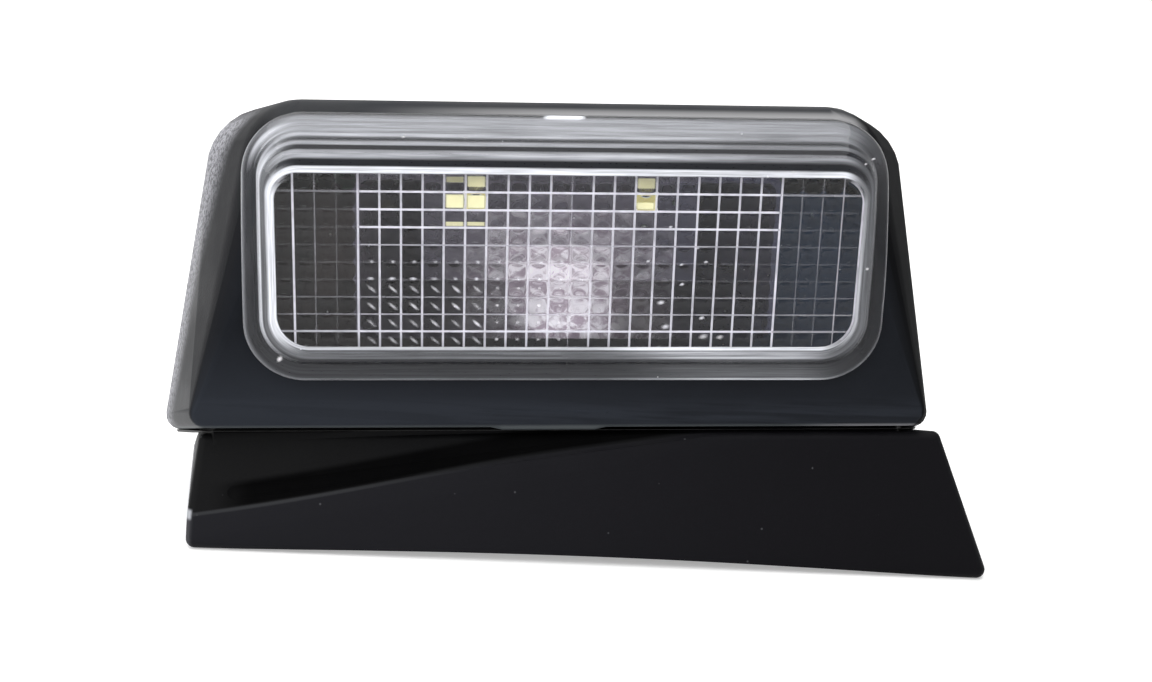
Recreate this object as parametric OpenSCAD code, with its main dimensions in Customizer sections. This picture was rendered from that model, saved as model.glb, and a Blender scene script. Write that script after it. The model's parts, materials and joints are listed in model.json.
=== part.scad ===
// Roof marker light: a clear pillow lens on a black hood, standing on a wedge foot.
// X runs to the right as the lens is faced, -Y is the way the light shines, Z is up.
// The origin is midway between the two roof bolts, at the mouths of their bosses.

/* [Hood] */
// Half width of the hood at the front of its lower lip
hood_lip_half = 73; // [70:0.5:76]
// Half width of the hood at the front of its top edge
hood_top_half = 63.7; // [62:0.1:66]
// Half width of the hood where it is widest, at the lower lip
hood_wide_half = 80.3; // [78:0.1:84]
// Half width of the hood where it is widest, at the top
hood_wide_top_half = 71; // [68:0.5:74]
// Depth from the front face to the widest section
hood_wide_y = 22.7; // [18:0.1:27]
// Depth from the front face to the rear face
hood_depth = 46; // [44:1:52]
// Height of the front face below the lens centre
hood_lip_drop = 34.4; // [33:0.2:38]
// Height of the top above the lens centre
hood_top_rise = 27.8; // [27.4:0.1:30]
// Fall of the lower lip for each millimetre of depth
hood_lip_fall = 0.38; // [0.34:0.01:0.4]
// Fall of the top for each millimetre of depth
hood_top_fall = 0.31; // [0.28:0.01:0.34]
// Radius of the rolled top edge
hood_roll_r = 13; // [11:0.5:14]
// Radius of the lower corners seen from the front
hood_corner_r = 3.2; // [3:0.1:4.5]
// Radius of the edge round of the lower lip
hood_edge_r = 1.4; // [1:0.1:1.8]
// Wall of the hood
hood_wall = 2.5; // [2:0.1:3]
// Width of the pad in the middle of the lip
pad_w = 22; // [16:1:30]
// How far the lip pad stands below and in front of the lip
pad_proud = 0.5; // [0.3:0.1:0.8]

/* [Lens] */
// Columns of pillow optics
pillow_columns = 28; // [20:2:30]
// Rows of pillow optics
pillow_rows = 10; // [8:1:10]
// Width of one pillow
pillow_w = 4; // [3.6:0.1:4.1]
// Height of one pillow
pillow_h = 3.42; // [3.2:0.02:3.6]
// Crown of one pillow
pillow_crown = 0.55; // [0.3:0.05:0.8]
// Half width of the lens flange
flange_half = 61.7; // [60.5:0.1:62.2]
// Lowest edge of the flange below the lens centre
flange_drop = 23.6; // [23.2:0.2:26]
// Highest edge of the flange above the lens centre
flange_rise = 27; // [26:0.1:27.2]
// Width of the flange
flange_w = 3.2; // [3:0.1:4]
// Thickness of the flange
flange_t = 1.1; // [0.9:0.1:1.4]
// Corner radius of the flange
flange_corner_r = 11.5; // [10:0.5:13]
// Height of the raised face above the hood
face_rise = 3; // [2.8:0.1:3.6]
// Round between the raised face and its sides
face_round = 2.6; // [2:0.1:2.8]
// Wall of the lens
lens_wall = 1.7; // [1.5:0.1:2]
// Width of the drain notch at the bottom of the flange
notch_w = 2.6; // [2:0.1:4]
// Thickness of the rubber seal under the flange
lens_seal_t = 0.7; // [0.5:0.1:0.9]

/* [Foot] */
// Fall of the roof from the left end of the foot to the right end, in degrees
roof_fall = 2.8; // [2:0.1:3.4]
// Height of the lens centre above the roof bolts
lens_h = 60; // [59.5:0.1:62]
// Distance of the lens face in front of the roof bolts
lens_y = 20; // [18:0.5:22]
// Radius of the roof that the underside is hollowed to
roof_r = 1600; // [1400:50:2400]
// How far the ends of the rim stand below the roof bolts
rim_drop = 1.5; // [1.4:0.1:2]
// Left end of the foot at its front
foot_left = 71.2; // [70:0.2:73]
// Right end of the foot at its front, on the roof
foot_right = 90.2; // [86:0.2:94]
// Height of the rim wall at the left end of the crease
rim_wall_h = 7.6; // [6:0.2:9]
// Radius of the foot's edges
foot_edge_r = 1.8; // [1.4:0.1:2.2]
// Wall of the foot
foot_wall = 2.6; // [2.2:0.1:3]
// Width of the drain channel behind the crease
channel_w = 4; // [3:0.1:4.6]
// Depth of the drain channel
channel_depth = 1.3; // [0.8:0.1:1.6]
// Thickness of the rubber seal between hood and foot
joint_seal_t = 0.8; // [0.6:0.1:1]

/* [Fixings] */
// Distance between the two roof bolts
bolt_spacing = 90; // [84:1:94]
// Bore of the threaded inserts
insert_bore = 5; // [4.2:0.1:5.2]
// Outside of the threaded inserts
insert_d = 8.6; // [8:0.1:9]
// Length of the threaded inserts
insert_len = 9; // [7:0.5:10]
// Outside of the insert bosses
insert_boss_d = 13; // [12:0.5:14]
// Shank of the screws that hold hood to foot
hood_screw_d = 3.4; // [3:0.1:3.8]
// Head of the screws that hold hood to foot
hood_screw_head_d = 6.6; // [6:0.1:7]
// Shank of the small screws inside
inner_screw_d = 2.6; // [2.2:0.1:3]
// Bore of the cable grommet
cable_bore = 6; // [5:0.2:7]
// Outside of the grommet's neck
grommet_neck_d = 10; // [9.4:0.2:11]

/* [Inside] */
// Half width of the reflector's mouth
bowl_half_w = 41; // [38:0.5:43]
// Half height of the reflector's mouth
bowl_half_h = 16.4; // [15:0.2:17]
// Depth from the front face to the reflector's mouth
bowl_mouth_y = 3; // [2.4:0.1:4]
// Depth from the front face to the reflector's floor
bowl_floor_y = 22.3; // [21:0.1:24]
// Wall of the reflector
bowl_wall = 1.5; // [1.2:0.1:1.8]
// Depth from the front face to the carrier
carrier_y = 11; // [10:0.2:12]
// Thickness of the carrier
carrier_t = 2; // [1.6:0.1:2.4]
// Half width of the circuit board
board_half_w = 46; // [44:0.5:48]
// Height of the circuit board
board_h = 30; // [28:0.5:32]
// Thickness of the circuit board
board_t = 1.6; // [1:0.1:1.6]
// Side of a light emitting diode
led_side = 5; // [3.5:0.1:5.4]
// Distance of each light emitting diode from the middle
led_x = 18; // [14:0.5:24]
// Height of the light emitting diodes above the lens centre
led_z = 6.5; // [2:0.5:8]

/* [Hidden] */
fit = 0.2;
eps = 0.01;
hull_fn = 20;
roll_fn = 32;
bore_fn = 48;
outline_fn = 32;

// Places shared by the hood and what stands in it
lip_z = -hood_lip_drop;
cavity_drop = 12;
pad_shift = 3;
pad_edge_r = 0.8;
pad_h = 3.4;
rear_half = hood_wide_half - 4.3;
rear_top_half = hood_wide_top_half - 4;
rear_roll_r = hood_roll_r - 3;
wide_top_y = hood_depth - hood_roll_r - 4.3;
function lip_at(y) = lip_z - hood_lip_fall * y;
function top_at(y) = hood_top_rise - hood_top_fall * (y - hood_roll_r);

// Places of the lens
face_half = pillow_w * pillow_columns / 2;
face_half_h = pillow_h * pillow_rows / 2;
step_half = flange_half - flange_w;
step_drop = flange_drop - flange_w;
step_rise = flange_rise - 1.7;
step_corner_r = flange_corner_r - flange_w;
flange_g = lens_seal_t + flange_t;
aperture_inset = 2.4;
aperture_reach = 12;
pillow_floor_y = -0.7;
pillow_steps = 3;
slab_back = 1.4;
seal_w = 1.7;

// Reflector and the stack behind it
bowl_taper_w = 11;
bowl_taper_h = 5;
bowl_corner_r = 3;
collar_t = 1.2;
window_inset = 1.9;
board_y = bowl_floor_y + bowl_wall + fit;
pad_t = 0.8;
spreader_t = 2;
spreader_low = -3;
spreader_y = board_y + board_t + pad_t;
board_screw_x = board_half_w - 4;
board_screw_z = 4;
led_t = 1.4;
emitter_t = 0.3;
part_z = -9;
resistor_x = [board_half_w - 12, board_half_w - 17];
resistor_w = 1.6;
capacitor_x = 18;
capacitor_d = 6;
diode_x = -22;
regulator_x = -13;
terminal_x = 2;
terminal_w = 11;
terminal_h = 8;
terminal_pitch = 5.2;
terminal_bore = 3.4;
terminal_at = [terminal_x - terminal_pitch / 2, terminal_x + terminal_pitch / 2];

// Screws inside the hood
carrier_screw_at = [[flange_half - 0.1, -4], [flange_half - 0.1, -16.5]];
carrier_boss_d = 6.4;
carrier_half = flange_half + 5.3;
carrier_low = carrier_screw_at[1][1] - 4.7;
carrier_high = carrier_screw_at[0][1] + 16;
carrier_corner_r = 8;
carrier_web = 12;
inner_head_d = 5;
inner_head_t = 1.6;
carrier_screw_len = 6;
board_screw_len = 10;
screw_run_out = 1.3;
carrier_hole_len = carrier_screw_len - carrier_t + screw_run_out;

// Screws between hood and foot, as [x, depth]
hood_screw_at = [[hood_lip_half - 6, 16], [hood_wide_half - 16.3, hood_depth - 11]];
hood_boss_d = 8;
hood_boss_rise = 16;
boss_web = 20;
boss_web_t = 2.4;
foot_post_rise = 3;
foot_post_drop = 4;
post_len = foot_post_rise + foot_post_drop + foot_wall;
hood_screw_head_t = 2.2;
hood_screw_reach = 13;

// Foot, in its own frame with the roof bolts at z = 0
rim_z = -rim_drop;
foot_rear = hood_depth - lens_y;
deck_lean = sqrt(1 + hood_lip_fall * hood_lip_fall);
function deck_z(x, y) = lens_h - hood_lip_drop - joint_seal_t
    - hood_lip_fall * (y + lens_y) + x * tan(roof_fall);
crease_end_x = 39.7;
crease_left = [-foot_left, -lens_y - 2.6, rim_z + rim_wall_h];
crease_right = [crease_end_x, -lens_y, deck_z(crease_end_x, -lens_y) - 0.8];
shoulder_at = [-foot_left + 1.3, -lens_y + 3.5];
shoulder_left = [shoulder_at[0], shoulder_at[1], deck_z(shoulder_at[0], shoulder_at[1])];
rim_front_left = -lens_y - 4.1;
rim_front_right = -lens_y - 6.1;
rear_spread = 3.8;
right_lean = 11.3;
plinth_t = 1.4;
plinth_inset = hood_wall + 0.8;
joint_seal_reach = 0.6;
plinth_root_inset = 0.4;
slab_over = 20;
shell_drop = 20;
gasket_w = 3.6;
gasket_h = 3;
insert_clear_d = insert_bore + 1.6;
insert_hole_depth = insert_len + 3;
grommet_y = 8;
grommet_wall = 3;
grommet_flange_d = 15;
grommet_flange_t = 1.8;
grommet_boss_d = 18;
grommet_cone_h = 5;
vent_x = 42;
vent_z = -14;
vent_stem_d = 6;
vent_cap_d = 12;
vent_cap_t = 1.6;
vent_way_d = 3.4;
vent_stem_reach = hood_wall + 2;
membrane_t = 0.3;

// Puts a piece of the lamp on the foot
module lamp_place() {
    translate([0, -lens_y, lens_h]) rotate([0, -roof_fall, 0]) children();
}

// Both ends of the lamp alike
module both_sides() {
    children();
    mirror([1, 0, 0]) children();
}

// A flat round button with a rounded rim, its axis along Y
module button(r, edge) {
    rotate([90, 0, 0]) rotate_extrude($fn = hull_fn) intersection() {
        translate([r - edge, 0]) circle(edge, $fn = 12);
        translate([0, -edge]) square([r, 2 * edge]);
    }
}

// The hood's outer form, grown by g, with its lower lip let down by drop
module hood_form(g = 0, drop = 0) {
    edge = max(hood_edge_r + g, 0.3);
    corner = max(hood_corner_r + g, edge + 0.1);
    roll = hood_roll_r + g;
    rear_roll = rear_roll_r + g;
    edge_y = edge - g;
    corner_in = corner - g;
    rear_bottom_y = hood_depth - hood_corner_r;
    rear_top_y = hood_depth - rear_roll_r;
    hull() both_sides() {
        translate([hood_lip_half - corner_in, edge_y, lip_z + corner_in - drop])
            button(corner, edge);
        translate([hood_wide_half - corner_in, hood_wide_y, lip_at(hood_wide_y) + corner_in - drop])
            sphere(corner, $fn = hull_fn);
        translate([rear_half - corner_in, rear_bottom_y, lip_at(rear_bottom_y) + corner_in - drop])
            sphere(corner, $fn = hull_fn);
        translate([hood_top_half - hood_roll_r, hood_roll_r, hood_top_rise - hood_roll_r])
            sphere(roll, $fn = roll_fn);
        translate([hood_wide_top_half - hood_roll_r, wide_top_y, top_at(wide_top_y) - hood_roll_r])
            sphere(roll, $fn = roll_fn);
        translate([rear_top_half - rear_roll_r, rear_top_y, top_at(rear_top_y) - rear_roll_r])
            sphere(rear_roll, $fn = hull_fn);
    }
}

// An outline seen from the front, straight through from y0 to y1
module front_cut(half, low, high, r, y0, y1) {
    translate([0, y1, 0]) rotate([90, 0, 0]) linear_extrude(y1 - y0)
        hull() for (x = [-1, 1]) {
            translate([x * (half - r), low + r]) circle(r, $fn = outline_fn);
            translate([x * (half - r), high - r]) circle(r, $fn = outline_fn);
        }
}

// A ring outline seen from the front
module front_ring(half, low, high, r, w, y0, y1) {
    difference() {
        front_cut(half, low, high, r, y0, y1);
        front_cut(half - w, low + w, high - w, r - w, y0 - 1, y1 + 1);
    }
}

// The drain notch at the bottom of the flange
module drain_notch() {
    translate([-1 - notch_w / 2, -face_rise - 3, -flange_drop - 1]) cube([notch_w, 6, 2.6]);
}

// The opening behind the lens, cut back to depth y1
module aperture(y1) {
    front_cut(flange_half - aperture_inset, -flange_drop + aperture_inset, flange_rise - aperture_inset + 0.6,
        flange_corner_r - aperture_inset, -face_rise - 1, y1);
}

module hood() {
    color([0.1, 0.105, 0.11]) lamp_place() {
        difference() {
            union() {
                hood_form();
                lip_pad();
            }
            hood_form(-hood_wall, cavity_drop);
            aperture(aperture_reach);
            translate([vent_x, hood_depth + 1, vent_z]) rotate([90, 0, 0])
                cylinder(d = vent_stem_d + fit, h = hood_wall + 4, $fn = bore_fn);
        }
        difference() {
            intersection() {
                hood_form(-hood_wall / 2);
                union() {
                    both_sides() for (p = hood_screw_at) hood_boss(p);
                    both_sides() for (p = carrier_screw_at) carrier_boss(p);
                }
            }
            aperture(hood_wall);
            both_sides() for (p = hood_screw_at)
                translate([p[0], p[1], boss_foot(p) - 1])
                    cylinder(d = hood_screw_d + 0.1, h = hood_boss_rise - 1, $fn = bore_fn);
            both_sides() for (p = carrier_screw_at)
                translate([p[0], carrier_y + 1, p[1]]) rotate([90, 0, 0])
                    cylinder(d = inner_screw_d + 0.1, h = carrier_hole_len, $fn = bore_fn);
        }
    }
}

// Where a boss of the hood meets the post of the foot
function boss_foot(p) = lip_at(p[1]) + foot_post_rise;

// A screw boss on the side wall of the hood, with the web that ties it there
module hood_boss(p) {
    translate([p[0], p[1], boss_foot(p)]) {
        cylinder(d = hood_boss_d, h = hood_boss_rise, $fn = bore_fn);
        translate([0, -boss_web_t / 2, 0]) cube([boss_web, boss_web_t, hood_boss_rise]);
    }
}

// A short boss behind the front wall for the carrier, webbed to the side wall
module carrier_boss(p) {
    translate([p[0], carrier_y - 0.02, p[1]]) rotate([90, 0, 0]) {
        cylinder(d = carrier_boss_d, h = carrier_y, $fn = bore_fn);
        translate([0, -boss_web_t / 2, 0]) cube([carrier_web, boss_web_t, carrier_y]);
    }
}

// The soft pad in the middle of the lower lip
module lip_pad() {
    low = lip_z - pad_proud;
    hull() for (x = [-1, 1]) {
        translate([x * (pad_w / 2 - 2) - pad_shift, 1.1, low + pad_edge_r]) sphere(pad_edge_r, $fn = hull_fn);
        translate([x * (pad_w / 2 + 1) - pad_shift, 1.1, lip_z + 1]) sphere(pad_edge_r, $fn = hull_fn);
        translate([x * pad_w / 2 - pad_shift, 0.6, lip_z + pad_h]) sphere(pad_edge_r, $fn = hull_fn);
    }
}

// The raised face of the lens as a convex stack of outlines, so that its edge is a round
module lens_body(shrink = 0) {
    steps = 4;
    r = face_round;
    hull() for (i = [0:steps]) {
        a = 90 * i / steps;
        inset = r * (1 - sin(a)) + shrink;
        g = face_rise - r + r * cos(a) - shrink;
        intersection() {
            hood_form(g);
            front_cut(step_half - inset, -step_drop + inset, step_rise - inset * 0.55,
                step_corner_r - min(inset, step_corner_r - 3), -face_rise - 1, 11);
        }
    }
}

// A height field of pillows on a slab: each one rises as (1 - u^2)(1 - v^2) over its own cell
module pillow_slab() {
    nx = pillow_columns * pillow_steps;
    nz = pillow_rows * pillow_steps;
    function across(k) = 2 * (k % pillow_steps) / pillow_steps - 1;
    function swell(k) = k % pillow_steps == 0 ? 0 : 1 - pow(across(k), 2);
    front = [for (j = [0:nz], i = [0:nx]) [
        i * pillow_w / pillow_steps - face_half,
        pillow_floor_y + pillow_crown * swell(i) * swell(j),
        j * pillow_h / pillow_steps - face_half_h
    ]];
    back = [for (z = [-face_half_h, face_half_h], x = [-face_half, face_half])
        [x, pillow_floor_y - slab_back, z]];
    function at(i, j) = j * (nx + 1) + i;
    first_back = (nx + 1) * (nz + 1);
    cells = [for (j = [0:nz - 1], i = [0:nx - 1], half = [0, 1])
        (i + j) % 2 == 0
            ? [at(i, j), at(i + 1, j + half), half == 0 ? at(i + 1, j + 1) : at(i, j + 1)]
            : [at(i + half, j), at(i + 1, j + half), at(i, j + 1)]];
    sides = [
        concat([for (i = [nx:-1:0]) at(i, 0)], [first_back, first_back + 1]),
        concat([for (i = [0:nx]) at(i, nz)], [first_back + 3, first_back + 2]),
        concat([for (j = [0:nz]) at(0, j)], [first_back + 2, first_back]),
        concat([for (j = [nz:-1:0]) at(nx, j)], [first_back + 1, first_back + 3]),
        [first_back, first_back + 2, first_back + 3, first_back + 1]
    ];
    polyhedron(points = concat(front, back), faces = concat(cells, sides));
}

module lens() {
    color([0.85, 0.88, 0.9, 0.45]) lamp_place() {
        difference() {
            union() {
                lens_body();
                intersection() {
                    hood_form(flange_g);
                    front_cut(flange_half, -flange_drop, flange_rise, flange_corner_r, -face_rise, 11);
                }
            }
            hood_form(lens_seal_t);
            lens_body(lens_wall);
            drain_notch();
        }
        pillow_slab();
    }
}

module lens_seal() {
    color([0.05, 0.05, 0.05]) lamp_place() difference() {
        intersection() {
            hood_form(lens_seal_t - 0.05);
            front_ring(flange_half - 0.4, -flange_drop + 0.4, flange_rise - 0.4, flange_corner_r - 0.4, seal_w,
                -face_rise - 1, carrier_y);
        }
        hood_form(0.02);
        drain_notch();
    }
}

// A four-sided bowl between its mouth and its floor, grown by g
module bowl(g, y0, y1, depth) {
    function along(y) = (y - bowl_mouth_y) / (bowl_floor_y - bowl_mouth_y);
    function side(half, taper, y) = half - bowl_corner_r - taper * along(y);
    hull() for (y = [y0, y1]) translate([0, y, 0]) rotate([90, 0, 0]) linear_extrude(depth)
        hull() for (x = [-1, 1], z = [-1, 1])
            translate([x * side(bowl_half_w, bowl_taper_w, y), z * side(bowl_half_h, bowl_taper_h, y)])
                circle(bowl_corner_r + g, $fn = hull_fn);
}

module reflector() {
    color([0.86, 0.85, 0.9]) lamp_place() difference() {
        union() {
            bowl(0, bowl_mouth_y + eps, bowl_floor_y + bowl_wall, eps);
            front_cut(bowl_half_w + 0.6, -bowl_half_h + 1, bowl_half_h - 1, bowl_corner_r,
                carrier_y - collar_t - fit, carrier_y - fit);
        }
        bowl(-bowl_wall, bowl_mouth_y - 1, bowl_floor_y, eps);
        both_sides() translate([led_x, bowl_floor_y, led_z])
            cube([led_side + 0.6, 6, led_side + 0.6], center = true);
    }
}

module board_carrier() {
    color([0.07, 0.07, 0.075]) lamp_place() difference() {
        union() {
            intersection() {
                hood_form(-hood_wall - 0.6, cavity_drop);
                front_cut(carrier_half, carrier_low, carrier_high, carrier_corner_r,
                    carrier_y, carrier_y + carrier_t);
            }
            both_sides() translate([board_screw_x, board_y, board_screw_z]) rotate([90, 0, 0])
                cylinder(d = carrier_boss_d, h = board_y - carrier_y - eps, $fn = bore_fn);
        }
        front_cut(bowl_half_w - 2 * window_inset + 0.4, -bowl_half_h + window_inset, bowl_half_h - window_inset,
            bowl_corner_r, carrier_y - 1, carrier_y + carrier_t + 1);
        both_sides() for (p = carrier_screw_at)
            translate([p[0], carrier_y + carrier_t + 1, p[1]]) rotate([90, 0, 0])
                cylinder(d = inner_screw_d + 0.4, h = carrier_t + 2, $fn = bore_fn);
        both_sides() translate([board_screw_x, board_y + 1, board_screw_z]) rotate([90, 0, 0])
            cylinder(d = inner_screw_d + 0.1, h = board_screw_len - 2, $fn = bore_fn);
    }
}

// A pan head screw lying along Y, its head behind y and its shank in front
module inner_screw(x, y, z, reach) {
    translate([x, y, z]) rotate([90, 0, 0]) {
        cylinder(d = inner_screw_d, h = reach, $fn = bore_fn);
        difference() {
            translate([0, 0, -inner_head_t]) cylinder(d = inner_head_d, h = inner_head_t, $fn = bore_fn);
            translate([0, 0, -inner_head_t - 0.1]) cylinder(d = 2.4, h = 1, $fn = 6);
        }
    }
}

module carrier_screws() {
    color([0.72, 0.73, 0.75]) lamp_place() both_sides() for (p = carrier_screw_at)
        inner_screw(p[0], carrier_y + carrier_t, p[1], carrier_screw_len);
}

module board_screws() {
    color([0.72, 0.73, 0.75]) lamp_place() both_sides()
        inner_screw(board_screw_x, spreader_y + spreader_t, board_screw_z, board_screw_len);
}

module circuit_board() {
    color([0.12, 0.35, 0.2]) lamp_place() difference() {
        front_cut(board_half_w, -board_h / 2, board_h / 2, 2, board_y, board_y + board_t);
        both_sides() translate([board_screw_x, board_y + board_t + 1, board_screw_z]) rotate([90, 0, 0])
            cylinder(d = inner_screw_d + 0.4, h = board_t + 2, $fn = bore_fn);
    }
}

module leds() {
    color([0.92, 0.92, 0.88]) lamp_place() both_sides() difference() {
        translate([led_x - led_side / 2, board_y - led_t, led_z - led_side / 2])
            cube([led_side, led_t, led_side]);
        translate([led_x, board_y - led_t + emitter_t, led_z]) rotate([90, 0, 0])
            cylinder(d = led_side - 1, h = 1, $fn = bore_fn);
    }
}

module led_emitters() {
    color([0.93, 0.82, 0.35]) lamp_place() both_sides()
        translate([led_x, board_y - led_t + emitter_t, led_z]) rotate([90, 0, 0])
            cylinder(d = led_side - 1, h = emitter_t - 0.02, $fn = bore_fn);
}

// A block standing on the back of the circuit board
module board_block(x, z, w, h, t) {
    translate([x - w / 2, board_y + board_t, z - h / 2]) cube([w, t, h]);
}

module resistors() {
    color([0.15, 0.15, 0.16]) lamp_place() for (side = [-1, 1], x = resistor_x)
        board_block(side * x, part_z, resistor_w, 2 * resistor_w, 0.6);
}

module diode() {
    color([0.12, 0.12, 0.12]) lamp_place() board_block(diode_x, part_z, 4.6, 2.8, 2.2);
}

module regulator() {
    color([0.08, 0.08, 0.09]) lamp_place() {
        board_block(regulator_x, part_z, 5, 4, 1.6);
        for (z = [-1, 1], x = [-1.9, -0.65, 0.65, 1.9])
            board_block(regulator_x + x, part_z + z * 2.6, 0.4, 1.3, 0.5);
    }
}

module capacitor() {
    base = capacitor_d + 0.4;
    color([0.7, 0.7, 0.72]) lamp_place() {
        board_block(capacitor_x, part_z, base, base, 1);
        translate([capacitor_x, board_y + board_t, part_z]) rotate([-90, 0, 0])
            cylinder(d = capacitor_d, h = capacitor_d, $fn = bore_fn);
    }
}

module thermal_pad() {
    color([0.55, 0.57, 0.6]) lamp_place()
        front_cut(board_half_w - 10, spreader_low + 1, board_h / 2 - 1, 1, board_y + board_t, spreader_y);
}

module heat_spreader() {
    color([0.75, 0.76, 0.78]) lamp_place() difference() {
        union() {
            front_cut(board_half_w, spreader_low, board_h / 2, 2, spreader_y, spreader_y + spreader_t);
            both_sides() translate([board_screw_x, spreader_y + eps, board_screw_z]) rotate([90, 0, 0])
                cylinder(d = 6, h = pad_t + eps, $fn = bore_fn);
        }
        both_sides() translate([board_screw_x, spreader_y + spreader_t + 1, board_screw_z]) rotate([90, 0, 0])
            cylinder(d = inner_screw_d + 0.4, h = spreader_t + pad_t + 2, $fn = bore_fn);
    }
}

module terminal_block() {
    color([0.2, 0.45, 0.3]) lamp_place() difference() {
        board_block(terminal_x, part_z, terminal_w, terminal_h, terminal_h);
        for (x = terminal_at) {
            translate([x, board_y + board_t + terminal_h / 2, part_z - terminal_h / 2 - 1])
                cylinder(d = terminal_bore, h = terminal_h, $fn = bore_fn);
            translate([x, board_y + board_t + terminal_h + 1, part_z]) rotate([90, 0, 0])
                cylinder(d = terminal_bore - 0.4, h = terminal_h / 2, $fn = bore_fn);
        }
    }
}

module terminal_contacts() {
    color([0.8, 0.66, 0.35]) lamp_place() for (x = terminal_at)
        translate([x, board_y + board_t + terminal_h / 2, part_z - terminal_h / 2 + fit]) difference() {
            cylinder(d = terminal_bore - fit, h = terminal_h - 1.4, $fn = bore_fn);
            translate([0, 0, -1]) cylinder(d = terminal_bore - 1.2, h = terminal_h - 2.4, $fn = bore_fn);
        }
}

// A slab that follows the slope of the hood's lip, from z0 to z1 measured down to the lip
module lip_slab(z0, z1) {
    translate([0, 0, lip_z]) rotate([-atan(hood_lip_fall), 0, 0])
        translate([-hood_wide_half - slab_over, -slab_over, z0])
            cube([2 * (hood_wide_half + slab_over), hood_depth + 3 * slab_over, z1 - z0]);
}

// The foot's outer form: its top follows the hood's lip, its shoulder falls to the crease
module foot_form(g = 0, drop = 0) {
    r = max(foot_edge_r + g, 0.3);
    e = r - g;
    function rim_corner(x, y) = [x, y, rim_z + e - drop];
    function deck_corner(x, y) = [x, y, deck_z(x, y) - e * deck_lean];
    corners = [
        rim_corner(-foot_left + e, rim_front_left + e),
        rim_corner(foot_right - e, rim_front_right + e),
        rim_corner(-foot_left - rear_spread + e, foot_rear - e),
        rim_corner(foot_right + rear_spread - e, foot_rear - e),
        crease_left + [e, e, -e],
        deck_corner(crease_end_x, -lens_y + e),
        deck_corner(foot_right - right_lean - e, -lens_y + 0.4 + e),
        deck_corner(shoulder_at[0] + e, shoulder_at[1] + e),
        deck_corner(-foot_left - 3 + e, foot_rear - 2 - e),
        deck_corner(foot_right - 8 - e, foot_rear - 2 - e)
    ];
    hull() for (c = corners) translate(c) sphere(r, $fn = hull_fn);
}

// The roof, as a long bar under the foot whose top is an arc of radius roof_r
module roof_cut() {
    middle = (foot_right - foot_left) / 2;
    half = foot_right - middle;
    flat = sqrt(roof_r * roof_r - half * half);
    left = middle - 2 * half;
    right = middle + 2 * half;
    function rise(x) = sqrt(roof_r * roof_r - x * x) - flat;
    arc = [for (i = [-12:12]) let (x = half * i / 12) [middle + x, rim_z + rise(x)]];
    translate([0, hood_depth, 0]) rotate([90, 0, 0]) linear_extrude(2 * hood_depth + lens_y)
        polygon(concat([[right, rim_z - 30], [left, rim_z - 30], [left, rim_z]], arc, [[right, rim_z]]));
}

// The shallow drain channel that runs along the shoulder behind the crease
module drain_channel() {
    along = crease_right - crease_left;
    out = cross(along, shoulder_left - crease_left);
    facing = out / norm(out);
    up = cross(facing, along) / norm(along);
    shift = up * (channel_w / 2 + 0.4) + facing * (channel_w / 2 - channel_depth);
    hull() for (k = [0.085, 1.2])
        translate(crease_left + along * k + shift) sphere(d = channel_w, $fn = hull_fn);
}

// The foot's form drawn in and raised, so that it stands through the joint with the hood
module raised_foot(inset) {
    translate([0, 0, joint_seal_t + 0.6 + inset]) foot_form(-inset);
}

// The plate that closes the hood's lower opening, and the root that ties it to the foot
module plinth() {
    lamp_place() intersection() {
        hood_form(-plinth_inset, cavity_drop);
        lip_slab(0, plinth_t);
    }
    intersection() {
        lamp_place() hood_form(-plinth_inset, cavity_drop);
        raised_foot(plinth_root_inset);
    }
}

module foot() {
    color([0.075, 0.078, 0.082]) difference() {
        union() {
            difference() {
                union() {
                    foot_form();
                    plinth();
                }
                foot_form(-foot_wall, shell_drop);
            }
            intersection() {
                foot_form(-foot_wall / 2);
                union() {
                    for (x = [-1, 1]) translate([x * bolt_spacing / 2, 0, 0])
                        cylinder(d = insert_boss_d, h = 60, $fn = bore_fn);
                    translate([0, grommet_y, grommet_z() - grommet_wall])
                        cylinder(d = grommet_boss_d, h = 60, $fn = bore_fn);
                }
            }
            translate([0, grommet_y, grommet_z() - grommet_wall])
                cylinder(d = grommet_boss_d, h = grommet_wall, $fn = bore_fn);
            lamp_place() both_sides() for (p = hood_screw_at)
                translate([p[0], p[1], boss_foot(p) - post_len])
                    cylinder(d = hood_boss_d, h = post_len - fit, $fn = bore_fn);
        }
        roof_cut();
        drain_channel();
        for (x = [-1, 1]) translate([x * bolt_spacing / 2, 0, 0]) {
            translate([0, 0, -5]) cylinder(d = insert_d, h = insert_len + 5, $fn = bore_fn);
            translate([0, 0, 1]) cylinder(d = insert_clear_d, h = insert_hole_depth - 1, $fn = bore_fn);
        }
        translate([0, grommet_y, -5]) cylinder(d = grommet_neck_d, h = 60, $fn = bore_fn);
        translate([0, grommet_y, grommet_z()]) cylinder(d = grommet_boss_d + 1, h = 30, $fn = bore_fn);
        translate([0, grommet_y, -5])
            cylinder(d = grommet_boss_d - 2, h = grommet_z() - grommet_wall + 5, $fn = bore_fn);
        lamp_place() both_sides() for (p = hood_screw_at)
            translate([p[0], p[1], boss_foot(p) - 30]) cylinder(d = hood_screw_d + 0.4, h = 40, $fn = bore_fn);
    }
}

// Top of the level seat that the grommet grips
function grommet_z() = lens_h - hood_lip_drop - joint_seal_t - hood_lip_fall * (grommet_y + lens_y) + 1.5;

module joint_seal() {
    color([0.05, 0.05, 0.05]) lamp_place() difference() {
        intersection() {
            hood_form(joint_seal_reach - hood_wall, 3);
            lip_slab(-joint_seal_t + 0.1, -0.2);
        }
        hood_form(-plinth_inset + 0.3, cavity_drop);
    }
}

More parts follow.
